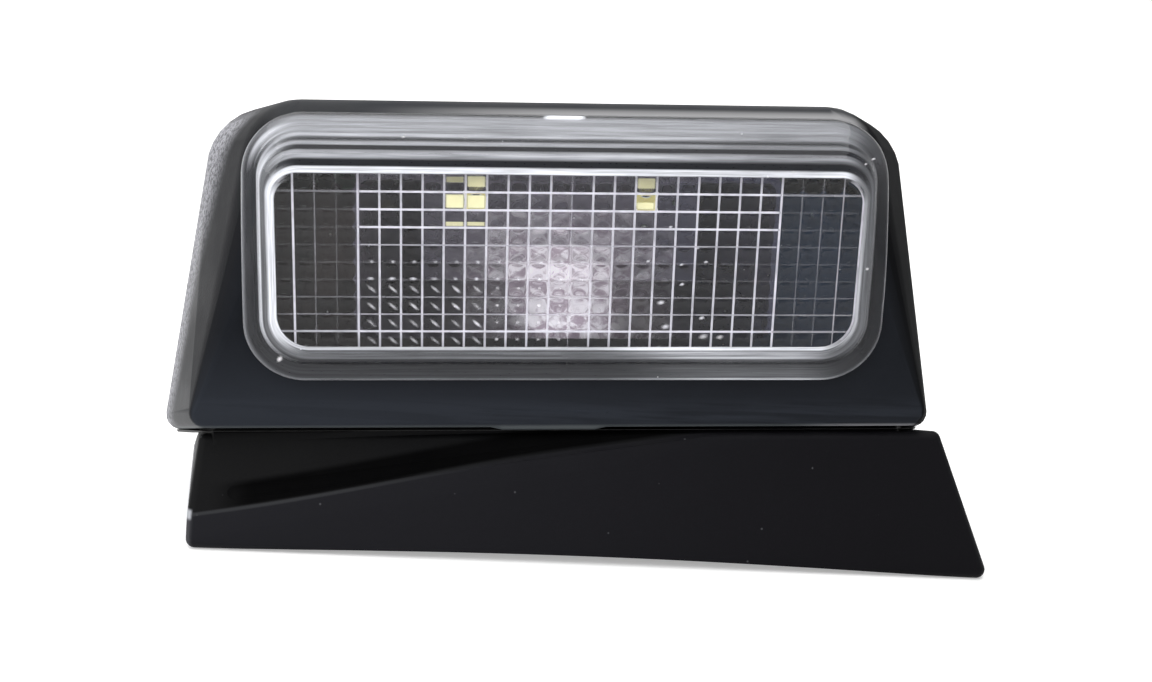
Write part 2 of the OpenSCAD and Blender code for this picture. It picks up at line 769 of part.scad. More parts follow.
// The outline of the foot's rim, drawn in by w
module rim_outline(w) {
    polygon([
        [-foot_left + w, rim_front_left + w], [foot_right - w, rim_front_right + w],
        [foot_right + rear_spread - w, foot_rear - w], [-foot_left - rear_spread + w, foot_rear - w]
    ]);
}

module roof_gasket() {
    color([0.09, 0.09, 0.09]) difference() {
        intersection() {
            foot_form(-foot_wall - fit, shell_drop);
            translate([0, 0, rim_z]) linear_extrude(gasket_h) rim_outline(0);
        }
        translate([0, 0, rim_z - 1]) linear_extrude(gasket_h + 2) rim_outline(foot_wall + gasket_w);
        roof_cut();
    }
}

module hood_screws() {
    color([0.7, 0.71, 0.73]) lamp_place() both_sides() for (p = hood_screw_at)
        translate([p[0], p[1], boss_foot(p) - post_len]) {
            cylinder(d = hood_screw_d, h = hood_screw_reach + foot_post_rise, $fn = bore_fn);
            difference() {
                translate([0, 0, -hood_screw_head_t])
                    cylinder(d = hood_screw_head_d, h = hood_screw_head_t, $fn = bore_fn);
                translate([0, 0, -hood_screw_head_t - 0.1]) cylinder(d = 3, h = 1.3, $fn = 6);
            }
        }
}

module threaded_inserts() {
    color([0.8, 0.66, 0.35]) for (x = [-1, 1]) translate([x * bolt_spacing / 2, 0, 0]) difference() {
        cylinder(d = insert_d - 0.04, h = insert_len - 0.1, $fn = bore_fn);
        translate([0, 0, -1]) cylinder(d = insert_bore, h = insert_len + 2, $fn = bore_fn);
    }
}

module cable_grommet() {
    color([0.06, 0.06, 0.06]) translate([0, grommet_y, grommet_z() - grommet_wall]) difference() {
        union() {
            for (z = [-grommet_flange_t - 0.03, grommet_wall + 0.03])
                translate([0, 0, z]) cylinder(d = grommet_flange_d, h = grommet_flange_t, $fn = bore_fn);
            translate([0, 0, -0.5]) cylinder(d = grommet_neck_d - 0.06, h = grommet_wall + 1, $fn = bore_fn);
            translate([0, 0, grommet_wall + 1])
                cylinder(d1 = grommet_neck_d + 1.4, d2 = cable_bore + 2.4, h = grommet_cone_h, $fn = bore_fn);
        }
        translate([0, 0, -5]) cylinder(d = cable_bore, h = 20, $fn = bore_fn);
    }
}

// Puts a piece on the vent's axis, standing out from the hood's rear face
module vent_place() {
    lamp_place() translate([vent_x, hood_depth + 0.05, vent_z]) rotate([-90, 0, 0]) children();
}

module vent_cap() {
    color([0.08, 0.08, 0.085]) vent_place() difference() {
        union() {
            cylinder(d = vent_cap_d, h = vent_cap_t, $fn = bore_fn);
            translate([0, 0, -vent_stem_reach])
                cylinder(d = vent_stem_d, h = vent_stem_reach + 1, $fn = bore_fn);
        }
        translate([0, 0, -vent_stem_reach - 1])
            cylinder(d = vent_way_d, h = vent_stem_reach + 1.6, $fn = bore_fn);
    }
}

module vent_membrane() {
    color([0.9, 0.9, 0.88]) vent_place() translate([0, 0, -vent_stem_reach - membrane_t])
        cylinder(d = vent_stem_d - 1, h = membrane_t, $fn = bore_fn);
}

hood();
lens();
lens_seal();
reflector();
board_carrier();
carrier_screws();
circuit_board();
board_screws();
leds();
led_emitters();
resistors();
diode();
regulator();
capacitor();
thermal_pad();
heat_spreader();
terminal_block();
terminal_contacts();
foot();
joint_seal();
roof_gasket();
hood_screws();
threaded_inserts();
cable_grommet();
vent_cap();
vent_membrane();
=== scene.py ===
"""Roof marker light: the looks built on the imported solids.

The lamp stands on its wedge foot, rolled by ROOF_FALL about Y. Shapes of the lamp are worked out in
lamp millimetres (X right, Y into the lamp, Z up, origin at the middle of the pillow grid) and carried
to the row frame in metres by to_row.
"""
import json
import math

import bmesh
import bpy
import numpy as np
from mathutils import Matrix, Vector


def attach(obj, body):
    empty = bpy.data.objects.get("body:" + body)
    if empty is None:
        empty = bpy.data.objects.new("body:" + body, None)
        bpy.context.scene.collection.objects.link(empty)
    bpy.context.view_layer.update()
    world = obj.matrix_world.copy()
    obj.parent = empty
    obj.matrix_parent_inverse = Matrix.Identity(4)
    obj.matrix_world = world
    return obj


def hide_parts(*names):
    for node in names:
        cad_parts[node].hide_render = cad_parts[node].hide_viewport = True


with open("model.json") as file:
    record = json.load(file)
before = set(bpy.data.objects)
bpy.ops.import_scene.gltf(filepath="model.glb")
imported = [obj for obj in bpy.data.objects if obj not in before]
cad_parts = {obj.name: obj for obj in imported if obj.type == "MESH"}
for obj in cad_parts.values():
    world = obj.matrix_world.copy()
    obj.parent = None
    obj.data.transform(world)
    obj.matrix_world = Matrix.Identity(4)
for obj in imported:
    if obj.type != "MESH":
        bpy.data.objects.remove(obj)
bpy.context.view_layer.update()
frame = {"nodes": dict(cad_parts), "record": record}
nodes = frame["nodes"]

MM = 0.001
ROOF_FALL = math.radians(2.8)
ROOF_Z = -0.0015
LENS_Y, LENS_H = 20.0, 60.0
LIP_HALF, LIP_DROP, LIP_FALL = 73.0, 34.4, 0.38
WIDE_HALF, WIDE_TOP_HALF, WIDE_Y = 80.3, 71.0, 22.7
TOP_HALF, TOP_RISE, TOP_FALL = 63.7, 27.8, 0.31
REAR_HALF, REAR_TOP_HALF, HOOD_DEPTH = 76.0, 67.0, 46.0
ROLL_R, REAR_ROLL_R, CORNER_R, EDGE_R = 13.0, 10.0, 3.2, 1.4
FLANGE_HALF, FLANGE_DROP, FLANGE_RISE, FLANGE_R = 61.7, 23.6, 27.0, 11.5
PILLOW_W, PILLOW_H, PILLOW_FLOOR, PILLOW_CROWN = 4.0, 3.42, -0.7, 0.55
COLUMNS, ROWS = 28, 10
FACE_HALF, FACE_HALF_H = COLUMNS * PILLOW_W / 2, ROWS * PILLOW_H / 2
FIELD_R_LOW, FIELD_R_HIGH = 6.8, 5.0
FACE_Y = -3.06
UPRIGHT_Y, LEVEL_Y, FRAME_Y = -0.74, -0.745, -0.75
IMAGE_Y, GLINT_Y = -0.35, -0.3
FOOT_LEFT, CREASE_LOW, CREASE_SLOPE = 71.2, 6.1, 0.1789
GLOW_X, GLOW_Z, GLOW_HALF_W, GLOW_HALF_H = 0.5, 50.5, 11.5, 7.5
PHOTO_W, FOCAL_PX, SENSOR_MM = 1152, 1722.9, 36.0
EYE = np.array([-30.43, -314.83, 91.60])
random = np.random.default_rng(11)


def to_row(p):
    """Lamp millimetres to row metres: turned by -ROOF_FALL about Y, then set LENS_H up and LENS_Y forward."""
    p = np.asarray(p, float)
    c, s = math.cos(ROOF_FALL), math.sin(ROOF_FALL)
    x, y, z = p[..., 0], p[..., 1], p[..., 2]
    return np.stack([x * c - z * s, y - LENS_Y, x * s + z * c + LENS_H], -1) * MM


# Camera

def photo_camera():
    """Pinhole camera solved from the grid: yaw, pitch and roll turn the lamp's axes, then the lamp's own
    roll is added."""
    yaw, pitch, roll = 0.10192, 0.3279, -0.03408
    fwd = np.array([math.sin(yaw) * math.cos(pitch), math.cos(yaw) * math.cos(pitch), -math.sin(pitch)])
    right = np.array([math.cos(yaw), -math.sin(yaw), 0.0])
    down = np.cross(fwd, right)
    r2 = right * math.cos(roll) + down * math.sin(roll)
    d2 = -right * math.sin(roll) + down * math.cos(roll)
    c, s = math.cos(ROOF_FALL), math.sin(ROOF_FALL)
    turn = np.array([[c, 0, -s], [0, 1, 0], [s, 0, c]])
    axes = turn @ np.stack([r2, -d2, -fwd], 1)
    place = to_row(EYE)
    data = bpy.data.cameras.new("photo_camera")
    data.sensor_width = SENSOR_MM
    data.sensor_fit = "HORIZONTAL"
    data.lens = FOCAL_PX / PHOTO_W * SENSOR_MM
    data.clip_start, data.clip_end = 0.01, 20.0
    cam = bpy.data.objects.new("photo_camera", data)
    m = Matrix.Identity(4)
    for i in range(3):
        for j in range(3):
            m[i][j] = axes[i, j]
        m[i][3] = place[i]
    cam.matrix_world = m
    bpy.context.collection.objects.link(cam)
    bpy.context.scene.camera = cam
    return cam


# Mesh helpers

def make_mesh(name, verts, faces, smooth=True, uv=None, values=None):
    """A mesh object from arrays: verts in row metres, faces as index rows, uv per vertex, values as named
    floats per vertex."""
    mesh = bpy.data.meshes.new(name)
    mesh.from_pydata(np.asarray(verts).tolist(), [], [list(map(int, f)) for f in faces])
    mesh.validate()
    mesh.polygons.foreach_set("use_smooth", [smooth] * len(mesh.polygons))
    loops = np.zeros(len(mesh.loops), np.int64)
    mesh.loops.foreach_get("vertex_index", loops)
    if uv is not None:
        layer = mesh.uv_layers.new(name="face_map")
        layer.data.foreach_set("uv", np.asarray(uv, float)[loops].ravel())
    for key, val in (values or {}).items():
        att = mesh.attributes.new(key, "FLOAT", "POINT")
        att.data.foreach_set("value", np.asarray(val, np.float32))
    mesh.update()
    obj = bpy.data.objects.new(name, mesh)
    bpy.context.collection.objects.link(obj)
    return obj


def grid_faces(nu, nv, wrap=False):
    """Quads of a grid of nv rows of nu points, closed along u if wrap."""
    i, j = np.meshgrid(np.arange(nu if wrap else nu - 1), np.arange(nv - 1))
    i, j = i.ravel(), j.ravel()
    k = (i + 1) % nu
    return np.stack([j * nu + i, j * nu + k, (j + 1) * nu + k, (j + 1) * nu + i], 1)


def softened(node, name, angle=32.0):
    """A merged copy of a solid whose broad faces keep their own direction while the small ones turn smoothly
    between them."""
    mesh = nodes[node].data.copy()
    mesh.name = name
    bm = bmesh.new()
    bm.from_mesh(mesh)
    bmesh.ops.remove_doubles(bm, verts=bm.verts, dist=2e-6)
    limit = math.radians(angle)
    for e in bm.edges:
        e.smooth = len(e.link_faces) == 2 and e.calc_face_angle(0.0) < limit
    for f in bm.faces:
        f.smooth = True
    bm.to_mesh(mesh)
    bm.free()
    obj = bpy.data.objects.new(name, mesh)
    bpy.context.collection.objects.link(obj)
    mod = obj.modifiers.new("broad faces first", "WEIGHTED_NORMAL")
    mod.keep_sharp = True
    mod.weight = 60
    return obj


# The hood's form

def hood_corners():
    """Centre, ball radius and ring radius of the twelve rounded corners over which the hood is stretched."""
    def lip(y):
        return -LIP_DROP - LIP_FALL * y

    def top(y):
        return TOP_RISE - TOP_FALL * (y - ROLL_R)

    rear_y, rear_top_y = HOOD_DEPTH - CORNER_R, HOOD_DEPTH - REAR_ROLL_R
    wide_top_y = HOOD_DEPTH - ROLL_R - 4.3
    half = [
        (LIP_HALF - CORNER_R, EDGE_R, -LIP_DROP + CORNER_R, EDGE_R, CORNER_R - EDGE_R),
        (WIDE_HALF - CORNER_R, WIDE_Y, lip(WIDE_Y) + CORNER_R, CORNER_R, 0.0),
        (REAR_HALF - CORNER_R, rear_y, lip(rear_y) + CORNER_R, CORNER_R, 0.0),
        (TOP_HALF - ROLL_R, ROLL_R, TOP_RISE - ROLL_R, ROLL_R, 0.0),
        (WIDE_TOP_HALF - ROLL_R, wide_top_y, top(wide_top_y) - ROLL_R, ROLL_R, 0.0),
        (REAR_TOP_HALF - REAR_ROLL_R, rear_top_y, top(rear_top_y) - REAR_ROLL_R, REAR_ROLL_R, 0.0),
    ]
    a = np.array(half)
    b = a.copy()
    b[:, 0] *= -1
    return np.concatenate([a, b])


def front_depth(x, z, g):
    """Where a line along +Y through (x, z) meets the hood grown by g: the greatest
    (h(n) + g - x nx - z nz) / ny over forward directions n, with h(n) the reach of the corners, the largest
    centre.n + ring |nxz| + ball."""
    a = np.radians(np.linspace(-87, 87, 175))
    az, el = np.meshgrid(a, a)
    n = np.stack([np.cos(el) * np.sin(az), -np.cos(el) * np.cos(az), np.sin(el)], -1).reshape(-1, 3)
    corners = hood_corners()
    flat = np.hypot(n[:, 0], n[:, 2])
    reach = (n @ corners[:, :3].T + flat[:, None] * corners[None, :, 4] + corners[None, :, 3]).max(1)
    x, z, g = np.broadcast_arrays(np.asarray(x, float), z, g)
    out = np.empty(x.size)
    xs, zs, gs = x.ravel(), z.ravel(), g.ravel()
    for k in range(0, x.size, 256):
        q = slice(k, k + 256)
        y = reach[None] + gs[q, None] - xs[q, None] * n[None, :, 0] - zs[q, None] * n[None, :, 2]
        out[q] = (y / n[None, :, 1]).max(1)
    return out.reshape(x.shape)


# The lens

def frame_outline(half, low, high, r_low, r_high):
    """Rounded rectangle seen from the front, from the middle of the bottom to the right and round: straight
    runs and quarter arcs."""
    def run(p, q, n):
        t = np.linspace(0, 1, n, endpoint=False)[:, None]
        return np.array(p)[None] * (1 - t) + np.array(q)[None] * t

    def arc(cx, cz, r, a0, n):
        t = np.radians(a0) + np.linspace(0, np.pi / 2, n, endpoint=False)
        return np.stack([cx + r * np.cos(t), cz + r * np.sin(t)], 1)
    return np.concatenate([
        run((0, low), (half - r_low, low), 36),
        arc(half - r_low, low + r_low, r_low, -90, 18),
        run((half, low + r_low), (half, high - r_high), 28),
        arc(half - r_high, high - r_high, r_high, 0, 22),
        run((half - r_high, high), (-half + r_high, high), 72),
        arc(-half + r_high, high - r_high, r_high, 90, 22),
        run((-half, high - r_high), (-half, low + r_low), 28),
        arc(-half + r_low, low + r_low, r_low, 180, 18),
        run((-half + r_low, low), (0, low), 36),
    ])


def smooth(t):
    """3 t^2 - 2 t^3 between 0 and 1."""
    t = np.clip(t, 0, 1)
    return t * t * (3 - 2 * t)


def lens_ring(s, g, plane):
    """One ring of the lens at inset s and height g over the hood; it turns into the flat plane near the frame
    of the grid."""
    top = s + 4.2 * smooth((s - 2.6) / 3.1)
    o = frame_outline(FLANGE_HALF - s, -FLANGE_DROP + 1.14 * s, FLANGE_RISE - top,
                      FLANGE_R - 0.82 * s, FLANGE_R - 1.14 * s)
    y = front_depth(o[:, 0], o[:, 1], g)
    w = smooth((s - 4.3) / 1.2)
    y = y * (1 - w) + plane * w
    return np.stack([o[:, 0], y, o[:, 1]], 1)


def lens_shell():
    """Outer skin from the flange's seat over its edge, the step and the frame's lip to the flat face; inner
    skin from the seat to the pillow field, with two moulded steps."""
    outer = [(0.15, 0.72), (0.0, 0.95), (0.0, 1.5), (0.1, 1.7), (0.3, 1.8), (0.9, 1.8), (1.8, 1.8),
             (2.7, 1.8), (3.0, 1.86), (3.2, 2.05), (3.35, 2.4), (3.55, 2.75), (3.85, 2.95), (4.3, 3.0),
             (4.75, 3.0), (4.95, 2.86), (5.1, 2.86), (5.25, 3.0), (5.4, 3.06), (5.6, 3.06), (5.8, 3.0),
             (6.1, 3.0)]
    inner = [(0.15, 0.72), (0.6, 0.7), (1.6, 0.7), (2.4, 0.7), (2.6, 1.0), (3.1, 1.0), (3.3, 0.7),
             (3.7, 0.7), (3.9, 1.05), (4.2, 1.05), (4.4, 0.72), (4.8, 0.72), (5.1, 0.72), (5.7, 0.7)]
    a = np.stack([lens_ring(s, g, -g) for s, g in outer])
    b = np.stack([lens_ring(s, g, -g) for s, g in inner])
    n = a.shape[1]
    va, vb = a.reshape(-1, 3), b.reshape(-1, 3)
    fa = grid_faces(n, len(outer), True)
    fb = grid_faces(n, len(inner), True)[:, ::-1] + len(va)
    last = np.arange(n) + (len(outer) - 1) * n
    faces = fa.tolist() + [last.tolist()] + fb.tolist()
    return make_mesh("lens_shell", to_row(np.concatenate([va, vb])), faces)


def pillow_field():
    """The inner face as pillows: y = floor + crown (1 - u^2)(1 - v^2) over each cell, u and v from -1 to 1,
    fading out at the frame's rounded corners."""
    step = 8
    x = np.linspace(-FACE_HALF, FACE_HALF, COLUMNS * step + 1)
    z = np.linspace(-FACE_HALF_H, FACE_HALF_H, ROWS * step + 1)
    gx, gz = np.meshgrid(x, z)
    u = 2 * ((gx + FACE_HALF) / PILLOW_W % 1.0) - 1
    v = 2 * ((gz + FACE_HALF_H) / PILLOW_H % 1.0) - 1
    swell = (1 - u * u) * (1 - v * v)
    r = np.where(gz < 0, FIELD_R_LOW, FIELD_R_HIGH)
    dx = np.maximum(np.abs(gx) - (FACE_HALF - r), 0)
    dz = np.maximum(np.abs(gz) - (FACE_HALF_H - r), 0)
    far = np.hypot(dx, dz)
    inside = r - far
    scale = np.where(inside < 0, r / np.maximum(far, 1e-6), 1.0)
    px = np.where(dx * dz > 0, np.sign(gx) * (FACE_HALF - r + dx * scale), gx)
    pz = np.where(dx * dz > 0, np.sign(gz) * (FACE_HALF_H - r + dz * scale), gz)
    y = PILLOW_FLOOR + PILLOW_CROWN * swell * smooth(inside / 0.6)
    p = np.stack([px, y, pz], -1).reshape(-1, 3)
    faces = grid_faces(len(x), len(z))
    keep = (inside.ravel()[faces] > 1e-6).any(1)
    faces = faces[keep][:, ::-1]
    uv = np.stack([(px + FACE_HALF) / PILLOW_W, (pz + FACE_HALF_H) / PILLOW_H], -1).reshape(-1, 2)
    return make_mesh("pillow_field", to_row(p), faces, uv=uv)


# Height of the lens wall's outside over the hood, by inset in mm from the rim
OUTER_S = (0.0, 0.3, 0.9, 2.7, 3.0, 3.2, 3.35, 3.55, 3.85, 4.3, 6.6)
OUTER_G = (1.5, 1.8, 1.8, 1.8, 1.86, 2.05, 2.4, 2.75, 2.95, 3.0, 3.0)

# How light each part of the lens wall is, and how much of it catches the light, by inset in mm from the rim
WALL_LOOKS = {
    "top": (
        (0.0, 0.3, 0.5, 1.0, 2.0, 2.9, 3.05, 3.14, 3.22, 3.3, 3.38, 3.44,
         3.6, 3.66, 3.88, 3.94, 4.15, 4.36, 4.44, 4.84, 4.92, 5.4, 5.48, 6.5),
        (0.0, 0.0, 0.24, 0.27, 0.31, 0.25, 0.42, 0.3, 0.05, 0.0, 0.0, 0.27,
         0.27, 0.0, 0.0, 0.26, 0.5, 0.26, 0.0, 0.0, 0.75, 0.8, 0.1, 0.0),
        (1.0, 1.0, 0.9, 0.9, 0.9, 0.9, 0.97, 0.97, 0.95, 0.95, 0.95, 0.95,
         0.95, 0.95, 0.95, 0.97, 0.97, 0.97, 0.97, 0.97, 1.0, 1.0, 0.0, 0.0)),
    "left": (
        (0.0, 0.25, 0.45, 0.8, 2.4, 3.0, 3.2, 3.7, 3.85, 4.0, 4.6, 4.8, 5.2, 6.3, 6.45, 6.5),
        (0.22, 0.26, 0.1, 0.03, 0.018, 0.03, 0.5, 0.62, 0.2, 0.12, 0.14, 0.5, 0.9, 0.9, 0.5, 0.1),
        (0.9, 0.9, 0.9, 0.9, 0.85, 0.85, 0.95, 0.95, 0.9, 0.9, 0.9, 0.9, 1.0, 1.0, 0.6, 0.0)),
    "right": (
        (0.0, 0.22, 0.4, 2.9, 3.1, 3.35, 3.6, 5.2, 5.5, 5.9, 6.0, 6.5),
        (0.16, 0.2, 0.006, 0.004, 0.12, 0.26, 0.13, 0.17, 0.45, 0.5, 0.2, 0.0),
        (0.85, 0.85, 0.9, 0.9, 0.9, 0.95, 0.85, 0.85, 0.95, 0.95, 0.0, 0.0)),
    "low": (
        (0.0, 0.25, 0.45, 2.8, 3.1, 4.1, 4.4, 4.7, 5.5, 5.7, 5.85, 6.3, 6.5),
        (0.16, 0.24, 0.036, 0.034, 0.016, 0.024, 0.18, 0.13, 0.17, 0.04, 0.6, 0.6, 0.0),
        (1.0, 1.0, 1.0, 1.0, 1.0, 1.0, 0.95, 0.9, 0.9, 0.8, 0.9, 0.9, 0.0)),
}


def wall_bands():
    """A skin inside the lens wall with painted highlights where the moulded steps catch light and painted
    shade where
    they lie dark: for every ring at inset s and outline direction n, tone and cover are the looks of the four
    sides weighted by nx^2 and nz^2."""
    s = np.concatenate([np.linspace(0.05, 3.0, 20), np.linspace(3.06, 6.5, 52)])
    g = np.interp(s, OUTER_S, OUTER_G) - 0.28
    rings = np.stack([lens_ring(a, b, -b) for a, b in zip(s, g)])
    o = frame_outline(FLANGE_HALF, -FLANGE_DROP, FLANGE_RISE, FLANGE_R, FLANGE_R)
    run = np.roll(o, -1, 0) - np.roll(o, 1, 0)
    run /= np.linalg.norm(run, axis=1)[:, None]
    nx, nz = run[:, 1], -run[:, 0]
    share = {"top": np.where(nz > 0, nz ** 2, 0), "low": np.where(nz < 0, nz ** 2, 0),
             "left": np.where(nx < 0, nx ** 2, 0), "right": np.where(nx > 0, nx ** 2, 0)}
    tone = sum(np.outer(np.interp(s, WALL_LOOKS[k][0], WALL_LOOKS[k][1]), share[k]) for k in share)
    cover = sum(np.outer(np.interp(s, WALL_LOOKS[k][0], WALL_LOOKS[k][2]), share[k]) for k in share)
    left_corner = np.where((nx < 0) & (nz > 0), 4 * nx ** 2 * nz ** 2, 0)
    right_corner = np.where((nx > 0) & (nz > 0), 4 * nx ** 2 * nz ** 2, 0)

    def bump(middle, width):
        return np.exp(-((s - middle) / width) ** 2)

    # painted highlight arcs at the top-left corner, painted shade at the top-right corner
    arcs = 0.55 * bump(1.5, 0.45) + 0.3 * bump(2.5, 0.12) - 0.12 * bump(0.8, 0.2)
    tone = np.maximum(tone * (1 - 0.6 * right_corner)[None] + np.outer(arcs, left_corner), 0)
    # painted shade on the top steps towards the right, painted light on the middle of the lower wall
    steps = np.where(s > 4.9, 0.0, np.where(s > 2.9, 1.0, 0.25))
    tone = tone * (1 - 0.45 * np.outer(steps, share["top"] * smooth((o[:, 0] - 14) / 26)))
    tone = tone * (1 + 2.3 * share["low"] * smooth((o[:, 0] - 5) / 25) * smooth((56 - o[:, 0]) / 12))[None]
    # painted highlight on the top of the rim near the middle
    wear_and_highlight = np.where((nz > 0.98) & (o[:, 0] > -4.8) & (o[:, 0] < 2.0), 1.0, 0.0)
    tone = np.clip(tone + np.outer(bump(0.25, 0.25), wear_and_highlight), 0, 1)
    n = len(o)
    arc = np.concatenate([[0], np.cumsum(np.linalg.norm(np.diff(o, axis=0), axis=1))])
    uv = np.stack(np.broadcast_arrays(arc[None, :], s[:, None]), -1).reshape(-1, 2)
    return make_mesh("wall_bands", to_row(rings.reshape(-1, 3)), grid_faces(n, len(s), True), uv=uv,
                     values={"tone": tone.ravel(), "cover": cover.ravel()})


def field_reach(offset, half, other):
    """How far a line at this offset runs below and above the middle before it meets the frame's corners."""
    def reach(r):
        return other - r + math.sqrt(max(r ** 2 - max(abs(offset) - (half - r), 0) ** 2, 0))
    return reach(FIELD_R_LOW), reach(FIELD_R_HIGH)


def upright_strength(i, z):
    """How white the upright line i is at height z: strong in the middle zone, weak in the end zones, lost in
    the glow."""
    base = {1: 0.9, 2: 0.2, 3: 0.06, 4: 0.72, 14: 0.25, 24: 0.85, 25: 0.16, 26: 0.17, 27: 0.42}.get(i, 0.72)
    x = -FACE_HALF + i * PILLOW_W
    lost = np.exp(-(x / 9.0) ** 2 - ((z - 1.0) / 6.0) ** 2)
    fade = np.where(z > 0, 1.0, 0.6) if i in (2, 25, 26) else 1.0
    return base * fade * (1 - 0.6 * lost)


def level_strength(r, x):
    """How white the level line r (counted from the top) is at x."""
    middle = {1: 0.95, 2: 0.95, 3: 0.9, 4: 0.42, 5: 0.06, 6: 0.06, 7: 0.25, 8: 0.4, 9: 0.85}[r]
    left = {1: 0.2, 7: 0.12, 8: 0.2, 9: 0.55}.get(r, 0.035)
    right = {1: 0.3, 4: 0.07, 7: 0.12, 8: 0.26, 9: 0.36}.get(r, 0.04)
    lost = np.exp(-(x / 10.0) ** 2) * (0.5 if r in (4, 7) else 0.0)
    return np.where(x < -40, left, np.where(x > 40, right, middle * (1 - lost)))


def groove_highlights():
    """Painted highlights on the fillets between pillows, as narrow pale strips on the inner face, one for
    each line of the grid, and a painted highlight for the frame's own bright line."""
    verts, faces, strength = [], [], []

    def lay(mid, side, width, value):
        base = sum(len(v) for v in verts)
        verts.append(np.concatenate([mid - side * width / 2, mid + side * width / 2]))
        strength.append(np.concatenate([value, value]))
        faces.append(grid_faces(len(mid), 2) + base)

    for i in range(1, COLUMNS):
        x = -FACE_HALF + i * PILLOW_W
        low, high = field_reach(x, FACE_HALF, FACE_HALF_H)
        z = np.linspace(-low, high, 60)
        mid = np.stack([np.full_like(z, x), np.full_like(z, UPRIGHT_Y), z], 1)
        value = upright_strength(i, z)
        lay(mid, np.array([1.0, 0, 0]), 0.42 if value.max() > 0.7 else 0.26, value)
    for r in range(1, ROWS):
        z = FACE_HALF_H - r * PILLOW_H
        low, high = field_reach(z, FACE_HALF_H, FACE_HALF)
        h = low if z < 0 else high
        x = np.linspace(-h, h, 150)
        mid = np.stack([x, np.full_like(x, LEVEL_Y), np.full_like(x, z)], 1)
        lay(mid, np.array([0, 0, 1.0]), 0.42 if r in (1, 2, 3, 9) else 0.3, level_strength(r, x))
    o = frame_outline(FACE_HALF, -FACE_HALF_H, FACE_HALF_H, FIELD_R_LOW, FIELD_R_HIGH)
    o = np.concatenate([o, o[:1]])
    run = np.gradient(o, axis=0)
    run /= np.linalg.norm(run, axis=1)[:, None]
    side = np.stack([run[:, 1], np.zeros(len(o)), -run[:, 0]], 1)
    mid = np.stack([o[:, 0], np.full(len(o), FRAME_Y), o[:, 1]], 1)
    level_top = side[:, 2] * np.where(o[:, 1] > 0, 1, 0)
    lay(mid, side, 0.5, 1.0 - 0.95 * smooth((level_top - 0.75) / 0.2))
    return make_mesh("pillow_groove_highlights", to_row(np.concatenate(verts)), np.concatenate(faces),
                     values={"strength": np.concatenate(strength)})


def lamp_images():
    """The yellow images of the two diodes that fill whole pillows: soft-edged tiles, each as (column, row,
    top, bottom, strength)."""
    tiles = [(8, 0, 0.12, 0.5, 0.45), (9, 0, 0.08, 0.75, 0.85), (8, 1, 0.12, 0.95, 1.0),
             (9, 1, 0.15, 0.95, 1.0), (8, 2, 0.68, 0.95, 0.7), (9, 2, 0.68, 0.92, 0.7),
             (17, 0, 0.1, 0.75, 0.7), (17, 1, 0.5, 0.92, 0.9)]
    verts, strength, faces = [], [], []
    u = np.array([0.04, 0.14, 0.86, 0.96])
    for k, (c, r, top, bottom, value) in enumerate(tiles):
        gap = 0.1 * (bottom - top)
        v = np.array([top, top + gap, bottom - gap, bottom])
        gu, gv = np.meshgrid(u, v)
        x = -FACE_HALF + (c + gu) * PILLOW_W
        z = FACE_HALF_H - (r + gv) * PILLOW_H
        verts.append(np.stack([x, np.full_like(x, IMAGE_Y), z], -1).reshape(-1, 3))
        rim = np.zeros((4, 4))
        rim[1:3, 1:3] = value
        strength.append(rim.ravel())
        faces.append(grid_faces(4, 4) + 16 * k)
    return make_mesh("lamp_images", to_row(np.concatenate(verts)), np.concatenate(faces),
                     values={"strength": np.concatenate(strength)})


